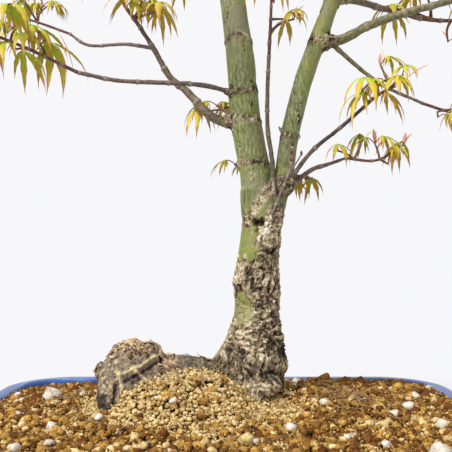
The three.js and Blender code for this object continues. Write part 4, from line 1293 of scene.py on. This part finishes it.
# Several knotty tubes as one, with their ring values
def gathered(pieces):
    points, triangles = joined([(p, t) for p, t, _ in pieces])
    return points, triangles, np.concatenate([v for _, _, v in pieces])


# Several knotty tubes put in the scene as one piece
def putTubes(name, pieces, bark, nodes, ringShare=1):
    *shape, ring = gathered(pieces)
    putShape(name, shape, bark, nodes, {"ring": ring * ringShare})


# All boughs as one piece: tapering tubes with swollen nodes at uneven steps, a little lumpy
def makeBoughs():
    s = boughSettings
    pieces, greens, dusks, names = [], [], [], []
    for k, limb in enumerate(limbs.values()):
        if limb["name"] in (*mainLimbs, "bud_twig"):
            continue
        roll = dice(s["seed"] + k)
        length = limb["curve"]["length"]
        count = int(length / s["nodeEvery"])
        nodes = [(n + 0.6 + 0.5 * roll()) / (count + 0.6) for n in range(count)] + [1.0]
        swell = s["nodeSwell"] / (0.6 + 0.2 * limb["foot"])
        points, triangles, value = knottyTube(limb["curve"], lambda a: limbRadius(limb, a), nodes,
                                              s["sides"], s["step"], s["nodeWidth"], swell)
        normals = normalsOf(points, triangles)
        lump = 0.10 * limb["foot"] * noise(points, 3.5, 80) + 0.14 * noise(points, 1.2, 81)
        pieces.append((points + normals * lump[:, None], triangles, value * 0.45))
        along = np.append(np.repeat(np.linspace(0, 1, len(points) // s["sides"]), s["sides"]), [0, 1])
        own = s["green"].get(limb["name"], 0.1)
        greens.append(np.maximum(own * (1 - 0.5 * along), bell(along * length, 22) * (limb["foot"] > 2)))
        dusks.append(s["dusk"].get(limb["name"], 0) * smooth(0.3, 0.55, along))
        names.append(limb["name"])
    *shape, value = gathered(pieces)
    bark = youngBark("greyBrownTwigBark", "3b2a27", "8a7469", "b9ab98")
    values = {"ring": value, "green": np.concatenate(greens), "dusk": np.concatenate(dusks)}
    putShape("bough_bark", shape, bark, names, values)


# Sprays of twigs and leaves, grown by the CAD source's rule and carried on to finer twigs

spraySettings = {
    "twigTip": 0.75,
    "twigMargin": 1,
    "leafMargin": 1.2,
    "leafLength": 24,
    "leafStalk": 5,
    "leafHold": 1.2,
    "leafWidth": 17,
    "stemNodes": 6,
    "sideStemRadius": 1.1,
    "finestTwig": 0.5,
    "sideShoots": (0.5, 0.78),
    # least, and how much chance adds to it
    "shootReach": (0.5, 0.2),
    "sideReach": (8, 7),
    "leafSizes": (0.8, 0.4),
    "fineLeafSizes": (0.52, 0.3),
    "apexRise": (1.2, 1.6),
    "leafShare": 0.94,
    "bareShoots": 0.2,  # how many side shoots don't grow
    "finerSeed": 5000,  # added to a spray's seed for its finer twigs
    "crownFrom": 385,
    "sheathShare": 0.45,  # how many twigs end in bud scales
    "sheathLength": (7, 12),
    "twigNodes": [0.05, 0.55, 1.0],
    "droop": (0.85, 1.08),
    "ownPlan": 0.65,  # how many leaves have their spray's own tints
    # how large a spray's leaves are beside the rest
    "leafScale": {"leaves_left_low": 1.3, "leaves_left_side": 0.9, "leaves_left_rising": 1.12,
                  "leaves_behind": 0.8, "leaves_right_low": 0.8, "leaves_inner": 0.85, "leaves_fork": 0.85},
}

# Name, what it grows from, seed, reach about its stem, pairs of shoots by rule, stem bends after
# the start, shoots placed one by one, and a root on a limb's axis where no bough leads to it
sprays = [
    ("leaves_left_low", "bough_left_long", 11, 34, 0, [(-111, -36, 288), (-138, -46, 297)],
     [(-107, -30, 293), (-119, -37, 299), (-128, -46, 304), (-120, -30, 290), (-150, -52, 300)]),
    ("leaves_left_side", "bough_left_side", 23, 36, 1, [(-126, 36, 330), (-152, 42, 340)],
     [(-135, 30, 342), (-126, 48, 346)]),
    ("leaves_left_rising", "bough_left_rising", 37, 34, 1, [(-69, 24, 341), (-76, 28, 362)],
     [(-45, 18, 331), (-54, 10, 334), (-65, 16, 333)]),
    ("leaves_left_under", "left_limb", 41, 40, 0, [(3, 18, 262), (-6, 26, 271)],
     [(-14, 26, 266), (4, 34, 272)], (10, 6, 252)),
    ("leaves_behind", "left_limb", 43, 36, 0, [(12, 18, 226), (6, 26, 232)],
     [(14, 34, 232)], (16, 5, 221)),
    ("leaves_inner", "bough_inner", 53, 28, 2, [(27, -9, 312), (28, -8, 338)], [(36, -8, 316)]),
    ("leaves_right_front", "bough_right_front", 61, 30, 0, [(87, -26, 264), (97, -29, 269)],
     [(78, -27, 268), (89, -27, 282), (92, -32, 270), (101, -31, 275), (84, -28, 262)]),
    ("leaves_right_low", "bough_right_low", 67, 30, 0, [(94, 10, 232), (107, 12, 238)],
     [(70, 8, 238), (86, 9, 246), (94, 10, 243), (103, 12, 230), (114, 14, 243)]),
    ("leaves_fork", "right_limb", 71, 34, 0, [(43, 6, 222), (48, 10, 222)],
     [(42, 14, 220), (54, 9, 220)], (36, -4, 222)),
    ("leaves_right_long", "bough_right_long", 79, 36, 1, [(165, -42, 328), (186, -44, 332)],
     [(128, -30, 332), (146, -50, 336)]),
    ("leaves_right_drop", "bough_right_drop", 83, 32, 2, [(138, -5, 259), (160, -2, 256)], []),
    ("leaves_right_high", "bough_right_high", 89, 34, 1, [(139, 13, 323), (166, 18, 326)],
     [(110, 16, 330), (98, 14, 330), (126, 2, 334)]),
    ("leaves_left_back", "bough_left_back", 101, 46, 3, [(-40, 98, 404), (-54, 124, 414)], []),
    ("leaves_left_front", "bough_left_front", 103, 46, 3, [(-54, -88, 410), (-66, -112, 414)], []),
    ("leaves_left_outer", "bough_left_outer", 107, 46, 2, [(-110, 6, 442), (-140, 8, 448)], []),
    ("leaves_crown_back", "bough_crown_back", 109, 44, 3, [(24, 86, 472), (32, 112, 484)], []),
    ("leaves_crown_front", "bough_crown_front", 113, 44, 2, [(-12, -78, 482), (-16, -102, 490)], []),
    ("leaves_crown_left", "bough_crown_left", 127, 42, 2, [(-74, 5, 506), (-92, 6, 520)], []),
    ("leaves_crown_top", "left_limb", 131, 42, 3, [(6, -4, 505), (2, -2, 548)], []),
    ("leaves_right_back", "bough_right_back", 137, 44, 3, [(102, 80, 400), (110, 106, 410)], []),
    ("leaves_right_outer", "bough_right_outer", 139, 42, 3, [(160, -24, 408), (182, -26, 414)], []),
    ("leaves_right_fore", "bough_right_fore", 149, 44, 2, [(94, -96, 430), (98, -120, 436)], []),
    ("leaves_right_inner", "bough_right_inner", 151, 36, 3, [(50, 36, 456), (44, 40, 476)], []),
    ("leaves_right_top", "right_limb", 157, 42, 3, [(98, -6, 462), (102, -4, 492)], []),
]


# A row of sprays as a dictionary: the stem runs on from a limb's tip, or from a root on its axis
def makeMass(name, parent, seed, reach, pairs, stem, shoots, root=None):
    limb = limbs[parent]
    start = np.array(root, float) if root else placeAt(limb["curve"], 1.0)
    radius = spraySettings["sideStemRadius"] if root else limb["tip"]
    stem = [np.array(p, float) for p in stem]
    return {"name": name, "seed": seed, "reach": reach, "pairs": pairs, "stem": stem,
            "shoots": [np.array(p, float) for p in shoots], "start": start, "radius": radius,
            "curve": curveThrough([start, *stem])}


masses = [makeMass(*row) for row in sprays]
for number, mass in enumerate(masses):
    mass["number"] = number
stemFrom = np.array([p for m in masses for p in (m["start"], m["stem"][0])])
stemTo = np.array([p for m in masses for p in (m["stem"][0], m["stem"][1])])


# Short straight stretches of every limb, with the radius at their foot
def limbStretches():
    rows = []
    for limb in limbs.values():
        along = np.linspace(0, 1, 13)
        places = placesAt(limb["curve"], along)
        rows.append(np.hstack([places[:-1], places[1:], limbRadius(limb, along[:-1])[:, None]]))
    return np.vstack(rows)


stretches = limbStretches()


# How far a spot is from each straight stretch
def distancesTo(spot, start, end):
    line = end - start
    t = np.clip(np.sum((spot - start) * line, -1) / np.sum(line * line, -1), 0, 1)
    return np.linalg.norm(start + line * t[:, None] - spot, axis=-1)


# A spot fits a spray while it is within reach of its stem, nearer to it than to any other stem,
# and clear of every limb
def fits(spot, mass, margin):
    toStems = distancesTo(spot, stemFrom, stemTo).reshape(-1, 2).min(1)
    own = toStems[mass["number"]]
    others = np.delete(toStems, mass["number"])
    clear = distancesTo(spot, stretches[:, :3], stretches[:, 3:6]) > stretches[:, 6] + margin
    return own <= mass["reach"] and (others > own + 2 * margin).all() and clear.all()


# A size from its least and what chance adds to it
def sized(span, draw):
    return span[0] + span[1] * draw


# The shoots of a spray by rule: pairs, each pair turned a right angle from the last
def shootsByRule(mass, roll):
    forward = unit(mass["stem"][1] - mass["start"])
    level = np.cross(forward, up)
    level = unit(level) if np.linalg.norm(level) >= 0.3 else np.array([1.0, 0, 0])
    lift = unit(np.cross(level, forward))
    shoots = []
    for pair in range(mass["pairs"]):
        node = placeAt(mass["curve"], (pair + 0.8) / (mass["pairs"] + 0.6))
        turn = pair * math.pi / 2 + (roll() - 0.5) * 1.2 + 0.4
        for sign in (-1, 1):
            reach = mass["reach"] * sized(spraySettings["shootReach"], roll())
            shoots.append(node + level * sign * math.cos(turn) * reach
                          + lift * sign * math.sin(turn) * reach * 0.8 + forward * mass["reach"] * 0.25)
    return shoots


# Where a shoot leaves the stem: the node that is nearest and still behind it
def nodeFor(mass, shoot):
    nodes = np.arange(1, spraySettings["stemNodes"]) / spraySettings["stemNodes"]
    spots = placesAt(mass["curve"], nodes)
    ahead = placesAt(mass["curve"], nodes + 0.01) - placesAt(mass["curve"], nodes - 0.01)
    behind = np.sum(unit(ahead) * (shoot - spots), -1)
    cost = np.linalg.norm(spots - shoot, axis=1) + 2 * np.maximum(0, 0.03 * mass["curve"]["length"] - behind)
    return nodes[np.argmin(cost)]


# A vector turned about the upright axis
def turnedAbout(vector, angle):
    x, y, z = vector
    cosine, sine = math.cos(angle), math.sin(angle)
    return np.array([x * cosine - y * sine, x * sine + y * cosine, z])


# Which way a pair of leaves stands: level, square to the twig, turned a little
def pairDirection(forward, turn):
    outward = np.cross(forward, up)
    if np.linalg.norm(outward) < 0.35:
        outward = np.array([1.0, 0, 0])
    outward[2] = 0
    return turnedAbout(unit(outward), turn)


# A leaf fits while its middle, its tip, a spot between them and two spots beside it do
def leafFits(end, outward, forward, size, mass):
    s = spraySettings
    length = s["leafLength"] * size
    middle = end + outward * (s["leafStalk"] + 0.3 * length) + forward * 2 + up
    tip = end + outward * (s["leafStalk"] + 0.55 * length) + forward * 3 - up * 0.78 * length
    side = unit(np.cross(tip - end, up)) * s["leafWidth"] / 2 * min(size, 1)
    spots = [middle, tip, (middle + tip) / 2, middle + side, middle - side]
    return all(fits(spot, mass, s["leafMargin"]) for spot in spots)


# Grows one spray: its twigs as curves with two radii, and its leaves as end, direction and size
def growSpray(mass):
    s = spraySettings
    roll = dice(mass["seed"])
    finer = dice(mass["seed"] + s["finerSeed"])
    foot = max(mass["radius"], s["twigTip"])
    twigs = [{"curve": mass["curve"], "foot": foot, "tip": s["twigTip"], "turn": roll() - 0.5, "stem": True,
              "rings": s["stemNodes"]}]
    for shoot in [*mass["shoots"], *shootsByRule(mass, roll)]:
        along = nodeFor(mass, shoot)
        node = placeAt(mass["curve"], along)
        lift = 0.14 * np.linalg.norm(node - shoot)
        bend = np.array([roll() - 0.5, roll() - 0.5, roll() * 0.6]) * lift
        turn = roll() * 0.9 - 0.45
        curve = curveThrough([node, (node + shoot) / 2 + bend, shoot])
        middle = placeAt(curve, 0.5)
        if fits(shoot, mass, s["twigMargin"]) and fits(middle, mass, s["twigMargin"]):
            thick = (foot + (s["twigTip"] - foot) * along) * 0.9
            twigs.append({"curve": curve, "foot": thick, "tip": s["finestTwig"], "turn": turn, "stem": False,
                          "rings": 2 if curve["length"] > 24 else 1})
    leaves = []
    for twig in twigs:
        end, before = placesAt(twig["curve"], np.array([1, (twig["rings"] - 1) / twig["rings"]]))
        forward = unit(end - before)
        outward = pairDirection(forward, twig["turn"])
        for sign in (-1, 1):
            size = sized(s["leafSizes"], roll())
            if leafFits(end, outward * sign, forward, size, mass):
                leaves.append((end, outward * sign, forward, size * s["leafShare"]))
    # Finer twigs in the crown: pairs of short side shoots near each twig's end, with their own leaves
    crown = mass["stem"][1][2] > s["crownFrom"]
    for twig in [twig for twig in twigs if crown and twig["curve"]["length"] > 20]:
        for k, along in enumerate(s["sideShoots"]):
            node, ahead = placesAt(twig["curve"], np.array([along, min(along + 0.03, 1)]))
            forward = unit(ahead - node)
            outward = pairDirection(forward, (finer() - 0.5) * 1.4)
            rise = unit(np.cross(outward, forward))
            turn = k * math.pi / 2 + 0.5 * (finer() - 0.5)
            for sign in (-1, 1):
                reach = sized(s["sideReach"], finer())
                tip = node + reach * (0.75 * sign * (outward * math.cos(turn) + rise * math.sin(turn))
                                      + 0.5 * forward + 0.25 * up)
                middle = (node + tip) / 2 - 0.08 * reach * up
                if finer() < s["bareShoots"] or not fits(tip, mass, s["twigMargin"]):
                    continue
                curve = curveThrough([node, middle, tip])
                twigs.append({"curve": curve, "foot": s["finestTwig"] * 1.3, "tip": s["finestTwig"] * 0.8,
                              "turn": 0, "stem": False, "rings": 2})
                onward = unit(tip - node)
                way = pairDirection(onward, (finer() - 0.5) * 1.5)
                for side in (-1, 1):
                    size = sized(s["fineLeafSizes"], finer())
                    if leafFits(tip, way * side, onward, size, mass):
                        leaves.append((tip, way * side, onward, size))
    return twigs, leaves


leafSettings = {
    "lobeTurns": [0, 38, -38, 74, -74, 112, -112],  # degrees from the leaf's own direction
    "lobeLengths": [1, 0.94, 0.94, 0.74, 0.74, 0.4, 0.4],
    "stations": [0, 0.12, 0.25, 0.38, 0.5, 0.62, 0.74, 0.87, 1],
    "halfWidths": [0.023, 0.043, 0.065, 0.077, 0.073, 0.058, 0.035, 0.015, 0],  # in lobe lengths
    "saw": [1, 1, 1.1, 0.9, 1.12, 0.88, 1.14, 0.86, 1],
    "columns": [-1, -0.6, 0, 0.6, 1],  # across a lobe, in half widths
    "fold": 0.35,
    "stalkRadius": 0.36,
    # how much the lobes differ by chance
    "turnBy": 0.14,
    "lengthBy": (0.9, 1.1),
    "run": (0.42, 0.78),
    "sink": (0.72, 0.95),
    "aside": 0.12,
    "twist": 0.35,
}


# Palmate leaves, all at once. Lobe i leaves the apex at its turn in plan. Along it, with t from 0
# to 1, it runs out run * (1 - (1 - t)^2), sinks sink * t^1.35 - 0.05 * sin(pi * t) and bends aside
# curl * t^2 of its length. Its edges lie half a width to each side of the midrib, a little behind it.
def leafPoints(apex, outward, length, droop, rng):
    s = leafSettings
    count, lobes = len(apex), len(s["lobeTurns"])
    t = np.array(s["stations"])
    turn = np.radians(s["lobeTurns"]) + rng.uniform(-s["turnBy"], s["turnBy"], (count, lobes))
    side = np.cross(up, outward)
    way = outward[:, None] * np.cos(turn)[..., None] + side[:, None] * np.sin(turn)[..., None]
    size = length[:, None] * np.array(s["lobeLengths"]) * rng.uniform(*s["lengthBy"], (count, lobes))
    run = rng.uniform(*s["run"], (count, lobes))
    sink = rng.uniform(*s["sink"], (count, lobes)) * droop[:, None]
    curl = rng.uniform(-s["aside"], s["aside"], (count, lobes))
    out = run[..., None] * (1 - (1 - t) ** 2)
    down = sink[..., None] * t**1.35 - 0.05 * np.sin(np.pi * t)
    across = np.cross(way, up)
    middle = (apex[:, None, None] + way[:, :, None] * (out * size[..., None])[..., None]
              - up * (down * size[..., None])[..., None]
              + across[:, :, None] * (curl[..., None] * t**2 * size[..., None])[..., None])
    along = unit(np.gradient(middle, axis=2))
    twist = rng.uniform(-s["twist"], s["twist"], (count, lobes))[..., None, None]
    cross = unit(across[:, :, None] + twist * way[:, :, None] * t[:, None])
    face = unit(np.cross(cross, along))
    half = (np.array(s["halfWidths"]) * np.array(s["saw"]) * size[..., None])[..., None] * s["columns"]
    points = middle[..., None, :] + cross[..., None, :] * half[..., None]
    return points - face[..., None, :] * (np.abs(half) * s["fold"])[..., None]


# The triangles of one lobe, and the stretch that each belongs to, with the margin's stretches
# counted on from the last of the inner ones
def lobeTriangles():
    last, across = len(leafSettings["stations"]) - 1, len(leafSettings["columns"])
    rows, spans = [], []
    for k in range(last):
        for column in range(across - 1):
            a, b = k * across + column, k * across + column + 1
            span = k + last * (column in (0, across - 2))
            if k == last - 1:
                rows.append((a, b, last * across + across // 2))
                spans.append(span)
            else:
                rows += [(a, b, b + across), (a, b + across, a + across)]
                spans += [span, span]
    return np.array(rows), np.array(spans)


leafTints = {
    "leaf_lime": "a9b327",
    "leaf_olive": "bbaa30",
    "leaf_amber": "c09a37",
    "leaf_orange": "b78a38",
    "leaf_rust": "9c6536",
}
# Which of these tints, counted from 0, each stretch of a lobe has from its foot to its tip, for four
# kinds of leaf, of which the last is rare. Its margin is redder by as many tints as redderMargin says.
tintPlans = np.array([[0, 0, 0, 0, 1, 1, 2, 3], [0, 0, 0, 1, 1, 1, 2, 4], [0, 0, 1, 1, 1, 1, 3, 4],
                      [0, 0, 1, 1, 2, 2, 3, 4]])
redderMargin = [0, 0, 0, 1, 1, 1, 2, 2]
sheathWidth = 0.13  # from the middle to each side, in lengths


# A bud scale or folded leaf: a narrow boat that stands up from a shoot's end. At t from 0 to 1 it is
# sheathWidth * sin(pi * t)^0.8 wide to each side, and bows out by 0.12 * sin(pi * t) of its length.
def sheathPoints(foot, way, length):
    t = np.linspace(0, 1, 6)[:, None]
    half = length * sheathWidth * np.sin(np.pi * np.clip(t, 0.04, 0.97)) ** 0.8
    side = unit(np.cross(way, up + [0.01, 0, 0]))
    out = unit(np.cross(side, way))
    middle = foot + way * length * t + 0.12 * length * np.sin(np.pi * t) * out
    spokes = [(-1, side), (0.4, out), (1, side), (-0.25, out)]
    return skin(np.stack([middle + share * half * spoke for share, spoke in spokes], 1))


# The sheaths that stand out, by their tint: foot, tip and width
salmonSheaths = [
    ((80, -28, 259), (83, -28, 269), 2.0),
    ((95, 12, 236), (103, 12, 248), 3.4),
    ((-87, -31, 278), (-96, -31, 300), 2.2),
    ((102, -30, 272), (116, -30, 281), 2.2),
]
paleSheaths = [
    ((90, -27, 279), (90, -27, 293), 2.6),
    ((-111, -38, 291), (-116, -38, 314), 5.0),
    ((88, 8, 245), (92, 8, 250), 2.6),
]


# A sheath from its foot to its tip, opened about its own axis to its width
def openSheath(foot, tip, width):
    foot, tip = np.array(foot, float), np.array(tip, float)
    length = np.linalg.norm(tip - foot)
    axis = unit(tip - foot)
    points, triangles = sheathPoints(foot, axis, length)
    along = np.outer((points - foot) @ axis, axis)
    share = width / (2 * sheathWidth * length)
    return foot + along + (points - foot - along) * share, triangles


# Grows all sprays and puts them in the scene, one piece for each bark and each tint
def makeSprays():
    s = spraySettings
    rng = np.random.default_rng(23)
    twigPieces, stalkPieces, sheathPieces, leafRows = [], [], [], []
    stalkRadius = taper(leafSettings["stalkRadius"], leafSettings["stalkRadius"])
    for mass in masses:
        twigs, leaves = growSpray(mass)
        plan = rng.integers(0, len(tintPlans) - 1)
        for twig in twigs:
            stemNodes = np.arange(1, s["stemNodes"] + 1) / s["stemNodes"]
            nodes = stemNodes if twig["stem"] else s["twigNodes"]
            thick = taper(twig["foot"], twig["tip"])
            twigPieces.append(knottyTube(twig["curve"], thick, nodes,
                                         sides=7, step=1.9, width=0.9, swell=0.35))
            if rng.uniform() < s["sheathShare"] and not twig["stem"]:
                end, before = placesAt(twig["curve"], np.array([1, 0.8]))
                for _ in range(rng.integers(1, 3)):
                    way = unit(unit(end - before) * 0.5 + up * 0.9 + rng.normal(size=3) * 0.28)
                    sheathPieces.append(sheathPoints(end - way * 0.6, way, rng.uniform(*s["sheathLength"])))
        for end, outward, forward, size in leaves:
            length = s["leafLength"] * size * s["leafScale"].get(mass["name"], 1)
            reach = s["leafStalk"] * 0.5 + 0.16 * length
            apex = end + outward * reach + forward * 2.5 + up * sized(s["apexRise"], rng.uniform())
            bend = (end + apex) / 2 + up * 0.9
            curve = curveThrough([end - forward * s["leafHold"] * 0.5, bend, apex])
            stalkPieces.append(knottyTube(curve, stalkRadius, [], sides=5, step=2.2, width=1, swell=0))
            droop = rng.uniform(*s["droop"])
            tints = plan if rng.uniform() < s["ownPlan"] else rng.integers(0, len(tintPlans))
            leafRows.append((apex, outward, length, droop, tints))
    print(f"stage sprays: {len(twigPieces)} twigs, {len(leafRows)} leaves, {len(sheathPieces)} sheaths")
    names = [mass["name"] for mass in masses]
    bark = youngBark("redBrownTwigBark", "3f1f1a", "7a4a3c", "a08a72")
    putTubes("twig_bark", twigPieces, bark, names, ringShare=0.6)
    stalk = youngBark("crimsonLeafStalk", "8c2f26", "b8603c", "b8603c")
    putTubes("leaf_stalks", stalkPieces, stalk, names)
    shape = joined(sheathPieces + [openSheath(*row) for row in salmonSheaths])
    putShape("bud_scales", shape, springLeaf("salmonBudScale", "d89a7c"), names)
    shape = joined([openSheath(*row) for row in paleSheaths])
    putShape("pale_scales", shape, springLeaf("paleBudScale", "d6d68c"), names)
    *shapes, plans = (np.array(column) for column in zip(*leafRows))
    blades = leafPoints(*shapes, rng)
    lobe, spans = lobeTriangles()
    each = blades.shape[2] * blades.shape[3]
    starts = np.arange(blades.shape[0] * blades.shape[1]) * each
    corners = starts[:, None, None] + lobe[None]
    planOf = np.repeat(plans, blades.shape[1])
    flat = blades.reshape(-1, 3)
    margins = np.minimum(tintPlans + redderMargin, len(leafTints) - 1)
    for number, (name, colour) in enumerate(leafTints.items()):
        table = np.hstack([tintPlans, margins]) == number
        chosen = corners[table[planOf][:, spans]]
        used, index = np.unique(chosen, return_inverse=True)
        shape = flat[used], index.reshape(-1, 3)
        putShape(name, shape, springLeaf(name, colour), names)


# The thin bare twig before the fork, with its side twig, and red winter buds on both
def makeBuds():
    limb = limbs["bud_twig"]
    curve = limb["curve"]
    side = curveThrough([placeAt(curve, 0.66), (41, -19, 226), (44, -20, 231)])
    nodes = [0.3, 0.55, 0.66, 0.8, 1]
    stems = [knottyTube(curve, lambda a: limbRadius(limb, a) * 0.85, nodes,
                        sides=10, step=1.3, width=0.7, swell=0.35),
             knottyTube(side, taper(0.55, 0.45), [1], sides=8, step=1.3, width=0.6, swell=0.3)]
    bark = youngBark("pinkGreyTwigBark", "5a463e", "a58f84", "cdbfaf")
    putTubes("bare_twig", stems, bark, ["bud_twig"], ringShare=0.7)
    spots = placesAt(curve, np.array([0.82, 0.91, 1.0]))
    parts = [ball(spot + [0, 0, 0.8], (0.8, 0.8, 1.7), sides=10, rings=8) for spot in spots]
    parts.append(ball((44, -20, 231.6), (0.75, 0.75, 1.6), sides=10, rings=8))
    bud = youngBark("redWinterBud", "4f0d18", "8e2231", "8e2231")
    putShape("winter_buds", joined(parts), bud, ["bud_twig"])


# Clumps of root fibre: middle X and Y, spread, count and greatest rise
fibreClumps = [(78, -8, 20, 26, 3.5), (58, -4, 12, 9, 4), (-36, -34, 16, 10, 2), (-92, -8, 14, 14, 2),
               (20, -36, 20, 12, 2), (-8, -26, 10, 5, 3)]


# Dry root fibres on the soil: thin curves that wander over it and arch up by rise * sin
def makeFibres():
    rng = np.random.default_rng(41)
    pieces = []
    for middleX, middleY, spread, count, tallest in fibreClumps:
        for _ in range(count):
            spot = np.array([middleX, middleY]) + rng.normal(size=2) * spread * 0.6
            heading = rng.uniform(0, 2 * np.pi)
            rise = rng.uniform(0.3, 1) * tallest
            bends = []
            for k in range(4):
                x, y = spot
                arch = rise * math.sin(math.pi * (k + 0.4) / 4)
                bends.append((x, y, soilHeight(x, y) + rng.uniform(0.8, 2.2) + arch))
                heading += rng.uniform(-0.7, 0.7)
                spot = spot + rng.uniform(3, 6) * np.array([math.cos(heading), math.sin(heading)])
            thick = rng.uniform(0.16, 0.34)
            pieces.append(knottyTube(curveThrough(bends), taper(thick, thick / 2), [],
                                     sides=5, step=1.8, width=1, swell=0))
    fibre = youngBark("dryRootFibre", "4e3a26", "c0a678", "c0a678")
    putTubes("root_fibres", pieces, fibre, ["soil"])


print("stage pot and soil")
makePot()
makeBed()
makeGranules(lambda x, y: underTrunk(x, y) | overRoot(x, y))
makeFibres()
print("stage trunk, limbs and old root")
makeTrunk()
makeRoot()
print("stage boughs and sprays")
makeBoughs()
makeSprays()
makeBuds()

# Floor, light and camera

studioSettings = {
    "floorSize": 8,  # metres
    "floorColour": "c7c7c9",
    "skyColour": "f7f7fa",
    "skyLight": 0.75,
    "sunStrength": 3.9,
    "sunAngle": 14,  # degrees across, which softens its shadows
    "sunFrom": (-0.55, -0.62, 0.95),
    "cameraPlace": (0, -388.5, 170),
    "cameraPitch": 2.97,
    "lens": 50.65,
}


# Matt white studio board
def studioBoard():
    material, tree = newMaterial("studioBoard")
    board = addNode(tree, "BsdfPrincipled", {"Base Color": studioSettings["floorColour"],
                                             "Roughness": 0.9, "Specular IOR Level": 0.1})
    addNode(tree, "OutputMaterial", {}, {"Surface": board})
    return material


# A round floor, a plain bright sky, one soft sun and the camera
def makeStudio():
    s = studioSettings
    turn = np.linspace(0, 2 * np.pi, 64, endpoint=False)
    rim = np.stack([np.cos(turn), np.sin(turn), 0 * turn], -1) * s["floorSize"]
    mesh = bpy.data.meshes.new("floor")
    mesh.from_pydata(rim.tolist(), [], [list(range(len(rim)))])
    mesh.materials.append(studioBoard())
    floor = addObject("floor", mesh)

    world = bpy.data.worlds.new("studioSky")
    bpy.context.scene.world = world
    world.use_nodes = True
    tree = world.node_tree
    tree.nodes.clear()
    shown = addNode(tree, "Background", {"Color": s["skyColour"], "Strength": 1.0})
    lighting = addNode(tree, "Background", {"Color": s["skyColour"], "Strength": s["skyLight"]})
    ray = addNode(tree, "LightPath")
    both = addNode(tree, "MixShader", {}, {0: (ray, "Is Camera Ray"), 1: lighting, 2: shown})
    addNode(tree, "OutputWorld", {}, {"Surface": both})

    lamp = bpy.data.lights.new("sun", "SUN")
    lamp.energy = s["sunStrength"]
    lamp.angle = math.radians(s["sunAngle"])
    sun = addObject("sun", lamp)
    x, y, z = unit(np.array(s["sunFrom"]))
    sun.rotation_euler = (math.acos(z), 0, math.atan2(y, x) + math.pi / 2)

    eye = bpy.data.cameras.new("camera")
    eye.lens = s["lens"]
    eye.clip_start = 0.01
    camera = addObject("camera", eye)
    camera.location = metres(s["cameraPlace"])
    camera.rotation_euler = (math.radians(90 + s["cameraPitch"]), 0, 0)
    bpy.context.scene.camera = camera
    bpy.context.scene.view_settings.view_transform = "Standard"


makeStudio()
print("stage done")
